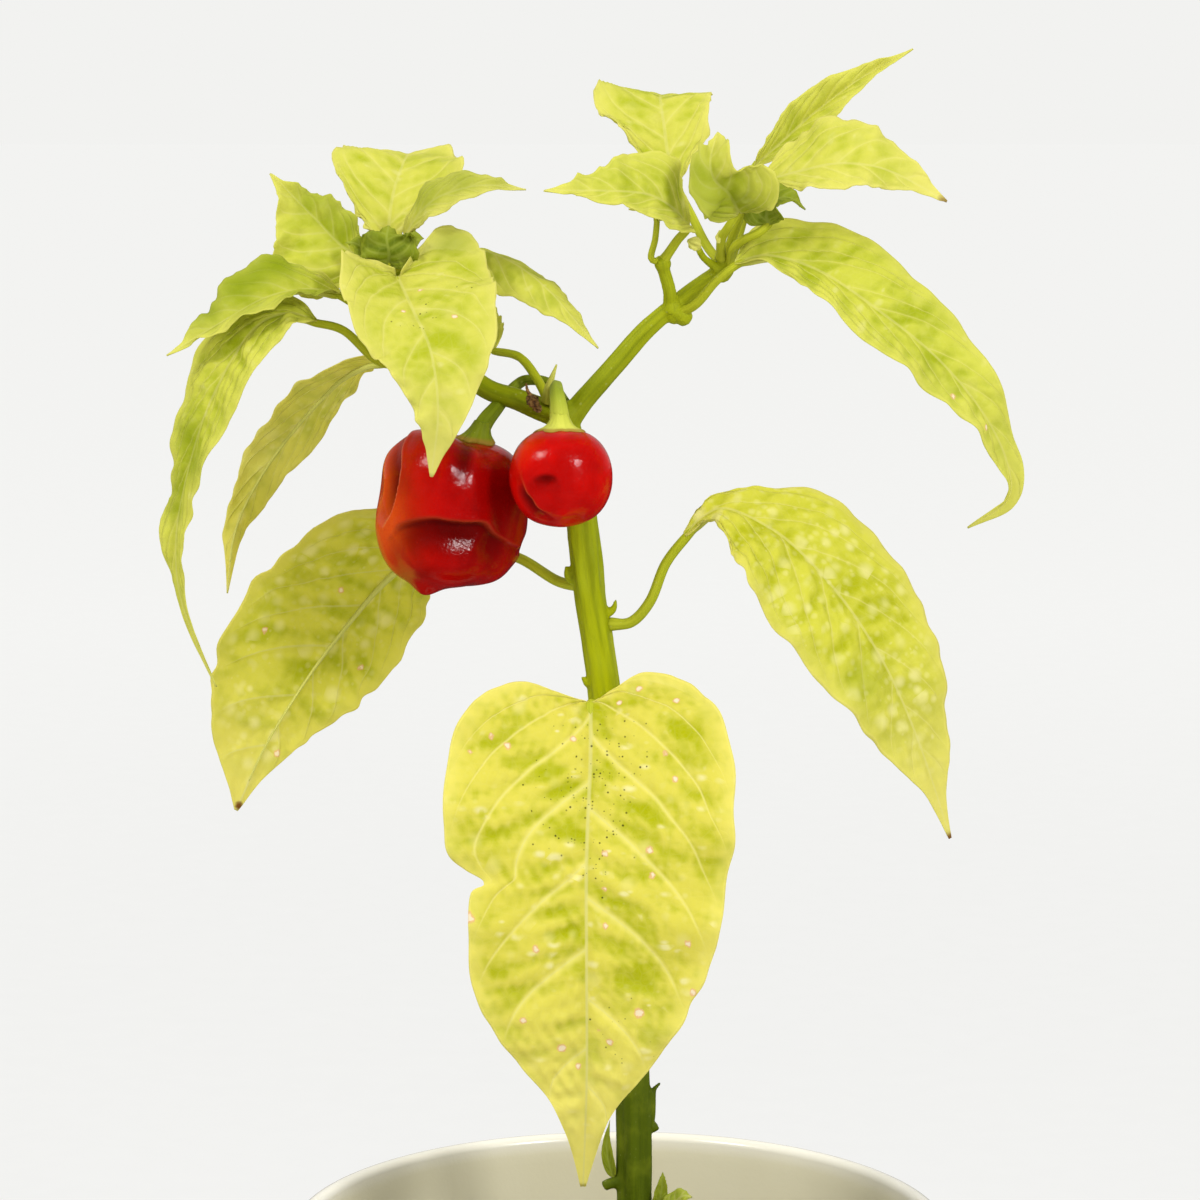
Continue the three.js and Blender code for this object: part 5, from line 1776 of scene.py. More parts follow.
@dataclass
class Stem:
    """The woody stem with its fork, side shoot, swellings and small buds.

    Attributes:
        trunk: The trunk.
        branches: The two branches of the fork and the side shoot.
        swellings: Swollen joints, each with its middle and radius.
        buds: Buds, leaf scars and small stalks.
        cell: The cell of the grid that melts them together, in millimetres.
        ridges: How many lengthwise ridges run round it.
        ridge_height: How high they are, in millimetres.
        calm_from: The height where they begin to fade.
        calm_to: The height where little is left of them.
    """

    trunk: Limb = Limb(
        ((5, 0, 104), (4, 0, 140), (4, 0, 185), (3, 0, 208), (1, 0, 236), (-1, 0, 263), (-3, 0, 294),
         (-5, 0, 313), (-8, 0, 332), (-10, 0, 350), (-12, 0, 368), (-16, 0, 382)),
        (5.2, 4.9, 4.6, 4.3, 4.2, 4.0),
    )
    branches: tuple[Limb, ...] = (
        Limb(
            ((-16, 0, 381), (-27, 3, 385), (-36, 6, 388), (-45, 10, 395), (-53, 11, 404), (-58, 9, 413),
             (-61, 8, 419)),
            (3.1, 2.8, 2.6, 2.6),
        ),
        Limb(
            ((-15, 0, 378), (-10, 0, 385), (-2, 1, 394), (6, 2, 403), (14, 3, 410), (22, 4, 416),
             (28, 4, 420)),
            (2.9, 2.7, 2.4, 2.3),
        ),
        Limb(((13, 3, 409), (13, 0, 414), (11, -2, 421)), (1.9, 1.7, 1.7)),
    )
    swellings: tuple[tuple[Point, float], ...] = (
        ((-15, 0, 381), 4.6), ((-60, 8, 418), 3.8), ((27, 4, 420), 3.4), ((14, 2.5, 409), 3.4),
        ((11, -2, 421.5), 2.4), ((16.5, 1, 407.6), 2.6),
    )
    buds: tuple[Limb, ...] = (
        Limb(((-11, 0, 336), (-14, 0, 338), (-14.5, 0, 341)), (1.6, 1.2, 0.4)),
        Limb(((-6, 0, 327), (-2, -1, 329), (-1, -1, 332)), (1.6, 1.2, 0.4)),
        Limb(((-6, 0, 308), (-9, -1, 309), (-10.5, -1, 311)), (1.4, 1.1, 0.4)),
        Limb(((5, 0, 185.5), (8.3, 0, 187.5), (8.8, 0, 192), (9.3, 0, 196.4), (11.2, 0, 198.8)),
             (1.3, 1.3, 1.3, 1.0, 0.3)),
        Limb(((5, 0, 186), (9.2, 0, 186.2), (10.4, 0, 187)), (1.6, 1.7, 1.4)),
        Limb(((2, 0, 171.5), (-2.6, -1, 170.6), (-4.2, -1, 169.8)), (1.6, 1.6, 1.4)),
        Limb(((5, 0, 159), (9, -2, 162), (11.5, -3, 166)), (1.6, 1.5, 0.6)),
        Limb(((5, 0, 158), (12, -4, 160), (17, -6, 161), (20, -7, 160)), (1.6, 1.6, 1.4, 0.6)),
        Limb(((26, 2, 420), (22, -2, 423), (20, -4, 426.5)), (1.4, 1.0, 0.9)),
        Limb(((27, 2, 422), (27, -3, 427), (26.2, -5, 430), (25.8, -6, 428.6)), (1.2, 0.7, 0.6, 0.6)),
    )
    cell: float = 0.55
    ridges: int = 5
    ridge_height: float = 0.3
    calm_from: float = 365
    calm_to: float = 395

    def surface(self) -> Surface:
        """The fused skin, ridged lengthwise.

        Each point is moved away from the nearest middle line by the ridge height times
        the cosine of the ridge count times its turn, which drifts along the limb, plus
        fine ripples stretched lengthwise.

        Returns:
            The skin with the length walked and the cosine and sine of the turn.
        """
        limbs = (self.trunk, *self.branches)
        paths = [Path(limb.points) for limb in limbs]
        tubes = [tube(path, limb.radii, 24, 2.0) for path, limb in zip(paths, limbs)]
        tubes += [tube(Path(bud.points), bud.radii, 12, 0.8) for bud in self.buds]
        tubes += [knob(at, (r, r, r), 5) for at, r in self.swellings]
        skin = fused(tubes, self.cell)
        steps = [np.linspace(0, 1, math.ceil(path.length / 1.5)) for path in paths]
        lines, headings = zip(*(path.at(step) for path, step in zip(paths, steps)))
        walks = np.concatenate([step * path.length for path, step in zip(paths, steps)])
        line, heading = np.concatenate(lines), np.concatenate(headings)
        away = -2 * skin.points @ line.T + (line**2).sum(1)
        nearest = np.argmin(away, 1)
        centre, along = line[nearest], heading[nearest]
        offset = skin.points - centre
        rise = (offset * along).sum(1)
        outwards = unit(offset - rise[:, None] * along)
        front = unit(np.cross(np.cross(along, [0.0, -1.0, 0.0]), along))
        side = np.cross(along, front)
        turn = np.arctan2((outwards * side).sum(1), (outwards * front).sum(1))
        walked = walks[nearest] + rise
        drift = 0.6 * np.sin(walked / 31) + walked / 90
        ridge = np.cos(self.ridges * turn + drift) * (1 + 0.5 * ripples((walked,), 30, 6))
        fine = ripples((3 * np.cos(turn), 3 * np.sin(turn), walked / 9), 1.6, 8)
        calm = 0.3 + 0.7 * smoothstep(self.calm_to, self.calm_from, skin.points[:, 2])
        skin.points = skin.points + outwards * (self.ridge_height * calm * (ridge + 0.45 * fine))[:, None]
        skin.values = {"walked": walked, "turn_x": np.cos(turn), "turn_y": np.sin(turn)}
        return skin


# ---------------------------------------------------------------------------- fruits
HOLLOW_PLACES = 80
FRUIT_VIEW_TILT = 6


@dataclass(frozen=True)
class Dent:
    """A dent or swell of the fruit's skin round a direction.

    Attributes:
        towards: The direction from the fruit's middle.
        width: Its reach, in radians.
        depth: How deep it goes as a share of the half size; below 0 swells out.
    """

    towards: Point
    width: float
    depth: float


@dataclass(frozen=True)
class Hollow:
    """A hollow under a lip that runs along a line of directions.

    Attributes:
        line: Places on the front of the fruit as shares of its half width and half
            height, right and up; the hollow lies on the line's right hand.
        depth: How deep it goes, as a share of the half size.
        steep: Half the width of the steep side, in radians.
        gentle: How far the gentle side takes to rise again, in radians.
        flat: How wide its floor is, in radians.
        lip: How far the lip stands out, as a share of the half size.
        rim: How strongly a pale painted highlight shows along the lip.
    """

    line: tuple[tuple[float, float], ...]
    depth: float
    steep: float = 0.05
    gentle: float = 0.25
    flat: float = 0.0
    lip: float = 0.012
    rim: float = 0.0

    def directions(self) -> tuple[Array, Array]:
        """The line as unit directions, and the unit directions along it.

        A place on the front becomes a direction by the camera's tilt: right stays right,
        up leans back and the rest of the unit length points at the camera.

        Returns:
            Directions and headings at HOLLOW_PLACES even places.
        """
        flat, _ = Path(self.line).at(np.linspace(0, 1, HOLLOW_PLACES))
        right, up = flat[:, 0], flat[:, 1]
        near = np.sqrt(np.clip(1 - right**2 - up**2, 0.02, 1))
        tilt = math.radians(FRUIT_VIEW_TILT)
        back = up * math.sin(tilt) - near * math.cos(tilt)
        points = unit(np.stack([right, back, up * math.cos(tilt) + near * math.sin(tilt)], -1))
        return points, unit(np.gradient(points, axis=0))

    def cut(self, direction: Array) -> tuple[Array, Array, Array]:
        """What the hollow takes from the reach, how deep each direction lies and how
        strongly a highlight is painted along its lip.

        With s the way to the left of the line, the cut rises steeply to the full depth
        as s falls from steep to -steep, stays deep over flat and fades smoothly over
        gentle; the lip is a bell on the other side. Both fade towards the line's ends.

        Args:
            direction: Unit directions.

        Returns:
            The cut, the depth between 0 and 1, and the painted lip highlight between 0 and 1.
        """
        points, headings = self.directions()
        nearest = np.argmax(direction @ points.T, -1)
        offset = direction - points[nearest]
        left = np.cross(points, headings)[nearest]
        away = (offset * left).sum(-1)
        beyond = np.linalg.norm(offset, axis=-1) - np.abs(away)
        share = nearest / (len(points) - 1)
        fade = np.sqrt(np.clip(np.sin(math.pi * np.clip(share, 0.02, 0.98)), 0, 1)) * bump(beyond, 0.12)
        wall = smoothstep(self.steep, -self.steep, away)
        slope = smoothstep(self.steep + self.flat + self.gentle, self.steep + self.flat, -away)
        lip = bump(away - 1.6 * self.steep, 1.3 * self.steep) * fade
        # Painted highlight along the lip.
        rim = self.rim * bump(away - 0.4 * self.steep, 0.7 * self.steep) * fade
        deep = wall * slope * fade
        return self.depth * deep - self.lip * lip, deep, rim


@dataclass(frozen=True)
class Calyx:
    """The green cap with five lobes and the stalk that rises from it.

    Attributes:
        axis: Where the cap looks, seen from the fruit's middle.
        profile: Its radius and its height over the skin, from the edge to the stalk.
        stalk: Points of the stalk.
        stalk_radii: Evenly spaced radii along it.
        lobe: How far its five lobes stand out, as a share of the radius.
    """

    axis: Point
    profile: tuple[tuple[float, float], ...]
    stalk: tuple[Point, ...]
    stalk_radii: tuple[float, ...]
    lobe: float = 0.12


@dataclass
class Fruit:
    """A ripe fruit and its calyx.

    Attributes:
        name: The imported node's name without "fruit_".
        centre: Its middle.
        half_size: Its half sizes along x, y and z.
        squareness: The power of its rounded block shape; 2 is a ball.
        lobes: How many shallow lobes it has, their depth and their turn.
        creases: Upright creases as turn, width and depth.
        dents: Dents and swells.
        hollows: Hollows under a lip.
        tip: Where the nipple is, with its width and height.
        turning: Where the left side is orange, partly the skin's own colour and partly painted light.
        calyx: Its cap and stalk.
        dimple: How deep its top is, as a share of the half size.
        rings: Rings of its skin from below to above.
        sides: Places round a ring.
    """

    name: str
    centre: Point
    half_size: Point
    squareness: float
    lobes: tuple[int, float, float]
    creases: tuple[tuple[float, float, float], ...]
    dents: tuple[Dent, ...]
    hollows: tuple[Hollow, ...]
    tip: tuple[Point, float, float]
    turning: tuple[Dent, ...]
    calyx: Calyx
    dimple: float = 0.08
    rings: int = 150
    sides: int = 220

    @staticmethod
    def _angle(direction: Array, towards: Point) -> Array:
        """Angles between unit directions and another direction."""
        return np.arccos(np.clip(direction @ unit(np.asarray(towards, float)), -1, 1))

    def reach(self, direction: Array) -> tuple[Array, Array, Array]:
        """How far the skin lies from the middle, as a share of the half size.

        A rounded block (the level share and the height, each to the power squareness,
        add up to one), plus the cosine of the lobes, less a bell for each crease and
        dent, less the hollows, plus a bell for the tip, less the dimple under the stalk.

        Args:
            direction: Unit directions.

        Returns:
            The reach, how deep in a hollow or crease each direction lies (painted as shade),
            and how strongly a highlight is painted on its lip.
        """
        x, y, z = (direction[..., k] for k in range(3))
        level, turn = np.hypot(x, y), np.arctan2(y, x)
        power = self.squareness
        reach = (level**power + np.abs(z) ** power) ** (-1 / power)
        count, depth, start = self.lobes
        reach = reach + depth * np.cos(count * turn + start) * level**2
        # hollow gathers the depth of creases and hollows, which the material paints as shade; rim gathers the
        # painted lip highlights.
        hollow, rim = np.zeros_like(reach), np.zeros_like(reach)
        for at, width, depth in self.creases:
            away = np.abs(np.arctan2(np.sin(turn - at), np.cos(turn - at)))
            bell = bump(away, width) * level**2
            reach = reach - depth * bell
            hollow = hollow + bell * min(1, depth / 0.13)
        for dent in self.dents:
            reach = reach - dent.depth * bump(self._angle(direction, dent.towards), dent.width)
        for part in self.hollows:
            cut, deep, lip = part.cut(direction)
            reach = reach - cut
            hollow = hollow + deep
            rim = rim + lip
        towards, width, height = self.tip
        reach = reach + height * bump(self._angle(direction, towards), width)
        reach = reach - self.dimple * bump(np.arccos(np.clip(z, -1, 1)), 0.34)
        return reach, np.clip(hollow, 0, 1), np.clip(rim, 0, 1)

    def skin(self, direction: Array, lift: float = 0) -> Array:
        """Points of the skin in unit directions, lifted by some millimetres."""
        reach = self.reach(direction)[0]
        return np.asarray(self.centre) + direction * (reach[..., None] * np.asarray(self.half_size) + lift)

    def body(self) -> Surface:
        """The fruit as a grid of directions, each at its reach.

        Returns:
            The skin, with how deep in a hollow each point lies (painted as shade), how strong its painted lip
            highlight is, and how orange it is.
        """
        direction = directions(self.rings, self.sides, 0.012)
        reach, hollow, rim = self.reach(direction)
        slow = ripples((direction[..., 0], direction[..., 1], direction[..., 2]), 0.7, 12)
        reach = reach + 0.006 * slow
        points = np.asarray(self.centre) + direction * reach[..., None] * np.asarray(self.half_size)
        # Orange towards the left: the skin's own orange, with painted light on the side the key light falls
        # on.
        turning = sum(
            -spot.depth * bump(self._angle(direction, spot.towards), spot.width) for spot in self.turning
        )
        return rings_surface(points, {"hollow": hollow, "rim": rim, "turning": np.clip(turning, 0, 1)})

    def cap(self) -> list[Surface]:
        """The calyx: a bell whose under side lies just below the skin and whose upper
        side follows the profile, both turned about the axis; the edge stands out in five
        lobes and the bell has five pleats.

        Returns:
            The bell and the stalk.
        """
        axis = unit(np.asarray(self.calyx.axis, float))
        side = unit(np.cross(axis, [0.0, 1.0, 0.0]))
        other = np.cross(axis, side)
        turn = full_turn(110)[None, :]
        mean = float(np.mean(self.half_size))
        over, _ = Path(self.calyx.profile).at(np.linspace(0, 1, 36))
        under = np.stack([np.linspace(0.3, self.calyx.profile[0][0], 10)[:-1], np.full(9, -0.5)], -1)
        radius, height = (np.concatenate([under, over])[:, k : k + 1] for k in (0, 1))
        outer = smoothstep(0.45, 1.0, radius / self.calyx.profile[0][0])
        lobes = np.cos(5 * turn + 0.6) + 0.5 * np.cos(9 * turn + 2) + 0.3 * np.cos(14 * turn)
        angle = radius * (1 + self.calyx.lobe * outer * lobes) / mean
        direction = np.cos(angle)[..., None] * axis + np.sin(angle)[..., None] * (
            np.cos(turn)[..., None] * side + np.sin(turn)[..., None] * other
        )
        lift = height + 0.18 * lobes * (1 - outer) * (height > 0)
        points = self.skin(direction) + lift[..., None] * axis
        edge = smoothstep(0.72, 0.95, radius / self.calyx.profile[0][0]) * (height > 0) + 0 * turn
        bell = rings_surface(points, {"scar": 0.85 * edge, "walked": 2 * height + 0 * turn})
        line = Path(self.calyx.stalk)
        stalk = tube(line, self.calyx.stalk_radii, 24, 0.4, lambda t, w: 0.06 * np.cos(5 * t + w / 9))
        return [bell, stalk]


LARGE_FRUIT = Fruit(
    "large", (-45, -7, 356.5), (19.8, 18.5, 20.2), squareness=2.9, lobes=(4, 0.035, 0.4),
    creases=((5.5, 0.22, 0.05),),
    dents=(
        Dent((0.15, -0.92, -0.38), 0.3, 0.03), Dent((0.9, -0.3, -0.3), 0.3, 0.04),
        Dent((-0.2, -0.5, 0.84), 0.42, -0.06), Dent((0.5, -0.5, 0.7), 0.3, 0.03),
        Dent((-0.38, -0.8, -0.46), 0.3, -0.075), Dent((0.05, -0.8, 0.6), 0.16, -0.02),
        Dent((-0.5, -0.75, 0.5), 0.24, -0.02), Dent((0.55, -0.7, -0.42), 0.12, 0.04),
        Dent((-1, -0.1, 0.28), 0.34, 0.09), Dent((-0.36, -0.1, 0.93), 0.36, -0.1),
        Dent((0.5, -0.1, 0.86), 0.34, 0.08),
    ),
    hollows=(
        Hollow(((-0.8, -0.36), (-0.65, -0.2), (-0.25, -0.12), (0.0, -0.15), (0.22, -0.175),
                (0.5, -0.195), (0.64, -0.35), (0.82, -0.45), (0.9, -0.47)),
               0.16, 0.035, 0.36, 0.16, rim=0.15),
        Hollow(((-0.44, 0.9), (-0.56, 0.7), (-0.6, 0.45), (-0.78, 0.06), (-0.88, -0.14)),
               0.13, 0.03, 0.3, 0.1, 0.02, 0.75),
        Hollow(((0.32, 0.95), (0.3, 0.75), (0.26, 0.5), (0.22, 0.25)), 0.035, 0.08, 0.25, 0.0, 0.0),
    ),
    tip=((-0.3, -0.25, -0.92), 0.17, 0.13),
    turning=(Dent((-1, -0.1, 0.5), 0.5, -0.9), Dent((-0.85, -0.5, 0), 0.45, -0.75),
             Dent((-0.9, -0.4, -0.4), 0.4, -0.6)),
    calyx=Calyx(
        (0.34, 0.06, 0.94), ((4.9, 0.3), (4.4, 0.9), (3.6, 1.8), (2.8, 3.4), (2.2, 5.4)),
        ((-38.4, -6, 375), (-36.2, -3, 379.5), (-33.5, 3, 382.6), (-30.5, 9, 385.8), (-26, 12, 389.6),
         (-19, 9, 389), (-15, 4, 384)),
        (2.6, 2.2, 1.9, 1.6, 1.4, 1.4, 1.8),
    ),
)
SMALL_FRUIT = Fruit(
    "small", (-15.8, -24, 367.1), (13.4, 12.6, 12.9), squareness=2.25, lobes=(3, 0.02, 1.2),
    creases=(),
    dents=(
        Dent((-0.25, -0.93, -0.25), 0.16, 0.035), Dent((0.35, -0.9, -0.2), 0.3, -0.03),
        Dent((-0.55, -0.75, -0.4), 0.12, 0.045), Dent((-0.3, -0.6, -0.72), 0.13, 0.05),
        Dent((-0.05, -0.98, -0.1), 0.14, 0.02),
        Dent((0.2, -0.55, -0.8), 0.2, 0.05), Dent((0.05, -0.72, -0.66), 0.1, -0.03),
    ),
    hollows=(
        Hollow(((-0.72, -0.1), (-0.62, -0.36), (-0.44, -0.6), (-0.2, -0.76)), 0.05, 0.045, 0.3, rim=0.3),
        Hollow(((-0.55, -0.08), (-0.35, 0.02), (-0.12, 0.0), (-0.02, -0.14)), 0.03, 0.05, 0.3, 0.0, 0.004),
    ),
    tip=((0.1, -0.3, -0.95), 0.3, 0.02),
    turning=(Dent((-0.7, -0.3, 0.6), 0.3, -0.4),),
    calyx=Calyx(
        (0.0, 0.12, 0.99), ((6.5, 0.15), (5.9, 0.4), (4.3, 0.5), (3.3, 1.2), (2.6, 2.4), (2.0, 3.6)),
        ((-15.8, -20.5, 379), (-16.2, -19, 384), (-16.7, -16, 388), (-17, -11, 389.8), (-17, -6, 388.4),
         (-17, -1, 383)),
        (2.9, 2.3, 1.8, 1.5, 1.5, 2.0), 0.09,
    ),
    dimple=0.02,
)


# ---------------------------------------------------------------------- pot and soil
@dataclass
class Pot:
    """The round cream pot, with its soil.

    Attributes:
        height: From foot to rim.
        rim_radius: The outer radius at the rim.
        foot_radius: The outer radius at the foot.
        wall: The wall's thickness.
        floor: The floor's thickness.
        corner: The radius of the rounded edge at the foot.
        soil_below_rim: How far the soil lies under the rim.
        clod_pitch: The way from clod to clod.
        turns: Places round a ring.
    """

    height: float = 160
    rim_radius: float = 90
    foot_radius: float = 63
    wall: float = 5
    floor: float = 7
    corner: float = 7
    soil_below_rim: float = 29
    clod_pitch: float = 26
    turns: int = 240

    def outer(self, z: Array | float) -> Array | float:
        """The outer radius at a height: it grows evenly from foot to rim."""
        return self.foot_radius + (self.rim_radius - self.foot_radius) * z / self.height

    def lathe(self, radius: Array, height: Array, wobble: float = 0) -> Array:
        """Turns a profile about the upright axis.

        Args:
            radius: Radii along the profile.
            height: Heights along it.
            wobble: How far the form strays from round, in millimetres.

        Returns:
            Points, profile by turn by xyz.
        """
        turn = full_turn(self.turns)[None, :]
        radius, height = radius[:, None] + 0 * turn, height[:, None] + 0 * turn
        places = (np.cos(turn) + 0 * height, np.sin(turn) + 0 * height, height / 60)
        stray = wobble * ripples(places, 1.4, 2)
        radius = radius + stray * smoothstep(5, 30, radius)
        return np.stack([radius * np.cos(turn), radius * np.sin(turn), height], -1)

    def body(self) -> Surface:
        """The pot as a lathe. The profile runs from the foot's middle out, up the wall,
        over the half round lip, down inside and in over the floor.

        Returns:
            The closed pot, with how near the top of its lip each point is.
        """
        foot = np.linspace(0.5, self.foot_radius - self.corner, 12)
        bend = np.linspace(0, math.pi / 2, 10)
        lip = np.linspace(0, math.pi, 22)
        half = self.wall / 2
        up = np.linspace(self.corner, self.height - half, 60)[1:-1]
        down = np.linspace(self.height - half, self.floor, 60)[1:]
        mouth = np.linspace(self.outer(self.floor) - self.wall, 0.5, 14)[1:]
        radius = np.concatenate([
            foot[:-1], self.foot_radius - self.corner * (1 - np.sin(bend)), self.outer(up),
            self.rim_radius - half * (1 - np.cos(lip)), self.outer(down) - self.wall, mouth,
        ])
        height = np.concatenate([
            0 * foot[:-1], self.corner * (1 - np.cos(bend)), up,
            self.height - half * (1 - np.sin(lip)), down, self.floor + 0 * mouth,
        ])
        points = self.lathe(radius, height, 0.25)
        # Marks the top of the lip for the glaze's painted highlight.
        crest = smoothstep(self.height - 5.5, self.height, points[..., 2])
        return rings_surface(points, {"crest": crest})

    def soil(self) -> list[Surface]:
        """The soil with a low mound and lumps, and loose crumbs on it.

        Returns:
            The soil and its crumbs.
        """
        top = self.height - self.soil_below_rim
        low, edge = self.floor + 0.3, self.outer(top) - self.wall - 0.6
        wall_z = np.linspace(low, top, 30)
        wall_r = self.outer(wall_z) - self.wall - 0.6
        across = np.linspace(edge, 0.5, 110)[1:]
        radius = np.concatenate([np.linspace(0.5, wall_r[0], 6)[:-1], wall_r, across])
        height = np.concatenate([np.full(5, low), wall_z, np.full(len(across), top)])
        points = self.lathe(radius, height)
        on_top = (np.arange(len(radius)) >= 34)[:, None]
        points[..., 2] += on_top * (self.soil_rise(points[..., 0], points[..., 1]))
        return [rings_surface(points, {}), self.crumbs(top)]

    def soil_rise(self, x: Array, y: Array) -> Array:
        """The soil's height over its level: a low mound round the stem, slow lumps, clods
        where two warped sines are both high or both low, and crumbs as the positive part
        of fine ripples, less their mean.

        Args:
            x: Places to the right.
            y: Places to the back.

        Returns:
            Heights in millimetres.
        """
        lumps = np.sin(x / 6.5 + 1.3) * np.cos(y / 7.5) + 0.6 * np.sin((x + 2 * y) / 9)
        pace = 2 * math.pi / self.clod_pitch
        clods = np.maximum(0, np.sin(x * pace + np.sin(y / 17)) * np.sin(y * pace + np.sin(x / 11)))
        crumbs = np.maximum(ripples((x, y), 5.0, 21), 0) + 0.6 * np.maximum(ripples((x, y), 2.4, 22), 0)
        return 4 * bump(np.hypot(x - 4, y), 45) + 1.1 * lumps + 1.8 * clods + 0.9 * crumbs - 0.6

    def crumbs(self, top: float) -> Surface:
        """Loose crumbs: small balls, squeezed by chance and roughened by ripples.

        Args:
            top: The height of the soil's level.

        Returns:
            All crumbs in one.
        """
        random = np.random.default_rng(31)
        count = 420
        away, turn = 70 * np.sqrt(random.uniform(0.01, 1, count)), random.uniform(0, 2 * math.pi, count)
        x, y = away * np.cos(turn), away * np.sin(turn)
        size = random.uniform(0.7, 2.2, (count, 1, 1)) * random.uniform(0.6, 1.0, (count, 1, 3))
        ball = knob((0, 0, 0), (1, 1, 1), 4, 0.0)
        places = (ball.points[:, 0] + 9 * x[:, None], ball.points[:, 1] + 7 * y[:, None])
        rough = 1 + 0.3 * ripples(places, 2, 5)
        shape = ball.points[None] * size * rough[..., None]
        centre = np.stack([x, y, top + self.soil_rise(x, y) + 0.3 * size[:, 0, 2]], -1)
        points = (shape + centre[:, None]).reshape(-1, 3)
        shift = np.repeat(np.arange(count) * len(ball.points), len(ball.corners))
        return Surface(points, np.tile(ball.corners, count) + shift, np.tile(ball.sizes, count))


# ---------------------------------------------------------------------------- studio
@dataclass
class Studio:
    """The pale floor, the soft lights and the camera.

    Attributes:
        camera_at: Where the camera stands.
        pitch: How far it looks down, in degrees.
        lens: Its focal length on a sensor 36 mm wide.
        paper: The background's colour.
    """

    camera_at: Point = (-5.5, -957.1, 457.6)
    pitch: float = 7.5
    lens: float = 108.0
    paper: str = "#f2f2f0"

    def camera(self) -> None:
        """Places the camera where the photograph was taken from."""
        camera = bpy.data.objects.new("camera", bpy.data.cameras.new("camera"))
        camera.data.lens = self.lens
        camera.data.sensor_width = 36
        camera.data.sensor_fit = "HORIZONTAL"
        camera.data.clip_start = 0.01
        camera.location = [part * MM for part in self.camera_at]
        camera.rotation_euler = (math.radians(90 - self.pitch), 0, 0)
        bpy.context.scene.collection.objects.link(camera)
        bpy.context.scene.camera = camera

    def light(self, name: str, towards: Point, away: float, size: float, watts: float, tint: str) -> None:
        """Hangs a square soft light that looks at the plant's middle.

        Args:
            name: Its name.
            towards: Its direction from the plant.
            away: Its distance in metres.
            size: Its width in metres.
            watts: Its power.
            tint: Its colour.
        """
        lamp = bpy.data.lights.new(name, "AREA")
        lamp.size = size
        lamp.energy = watts
        lamp.color = paint(tint)[:3]
        holder = bpy.data.objects.new(name, lamp)
        heading = unit(np.asarray(towards, float))
        holder.location = (np.array([0, 0, 0.33]) + heading * away).tolist()
        pitch = math.acos(heading[2])
        holder.rotation_euler = (pitch, 0, math.atan2(heading[1], heading[0]) + math.pi / 2)
        bpy.context.scene.collection.objects.link(holder)

    def world(self) -> None:
        """Even soft light from all round; the camera sees the paper's own colour, and
        mirrors see a darker front, so that gloss keeps its depth."""
        world = bpy.data.worlds.new("soft_room")
        world.use_nodes = True
        kit = Shader(world.node_tree)
        seen = world.node_tree.nodes["Background"]
        seen.inputs["Color"].default_value = paint(self.paper)
        lit = kit.node("Background")
        lit.inputs["Color"].default_value = (1.0, 1.0, 1.0, 1.0)
        lit.inputs["Strength"].default_value = 0.95
        mirror = kit.node("Background")
        _, backwards, upwards = kit.parts(kit.node("TexCoord").outputs["Generated"])
        back = kit.ramp(backwards, -0.1, 0.9, 0.015, 0.5)
        over = kit.ramp(upwards, 0.3, 0.9, 0, 0.06)
        kit.feed(mirror.inputs["Strength"], kit.plus(back, over))
        mirror.inputs["Color"].default_value = (1.0, 1.0, 1.0, 1.0)
        rays = kit.node("LightPath").outputs
        room = kit.blend(rays["Is Glossy Ray"], lit.outputs[0], mirror.outputs[0])
        room = kit.blend(rays["Is Camera Ray"], room, seen.outputs[0])
        kit.feed(world.node_tree.nodes["World Output"].inputs["Surface"], room)
        bpy.context.scene.world = world

    def floor(self) -> None:
        """A wide pale floor that keeps a soft shadow and fades into the background: it
        glows by what its own paint lacks to the paper's brightness, and mirrors see it
        dark."""
        mesh = bpy.data.meshes.new("floor")
        mesh.from_pydata([(-90, -90, 0), (90, -90, 0), (90, 90, 0), (-90, 90, 0)], [], [(0, 1, 2, 3)])
        material, kit, skin = new_material("floor_paper")
        place = kit.place(1.0)
        grain = kit.noise(place, 60.0, 3)
        kit.feed(skin.inputs["Base Color"], kit.mix(grain, "#8f8f8e", "#939392"))
        skin.inputs["Roughness"].default_value = 0.9
        skin.inputs["Specular IOR Level"].default_value = 0.0
        skin.inputs["Emission Color"].default_value = paint(self.paper)
        spread = kit.node("VectorMath", operation="LENGTH")
        kit.feed(spread.inputs[0], place)
        kit.feed(skin.inputs["Emission Strength"], kit.ramp(spread.outputs["Value"], 0.3, 2.6, 0.62, 0.705))
        dark = kit.node("BsdfDiffuse")
        dark.inputs["Color"].default_value = paint("#303030")
        mirrored = kit.node("LightPath").outputs["Is Glossy Ray"]
        paper = kit.blend(mirrored, skin.outputs[0], dark.outputs[0])
        kit.feed(kit.tree.nodes["Material Output"].inputs["Surface"], paper)
        mesh.materials.append(material)
        floor = bpy.data.objects.new("floor", mesh)
        bpy.context.scene.collection.objects.link(floor)

    def build(self) -> None:
        """Sets up camera, lights, room and floor."""
        self.camera()
        self.world()
        self.floor()
        self.light("key_light", (-0.57, -0.42, 0.715), 1.6, 0.4, 10.0, "#fffdf8")
        self.light("side_light", (0.52, -0.72, 0.46), 2.0, 0.32, 16.0, "#ffffff")
        bpy.context.scene.view_settings.view_transform = "Standard"


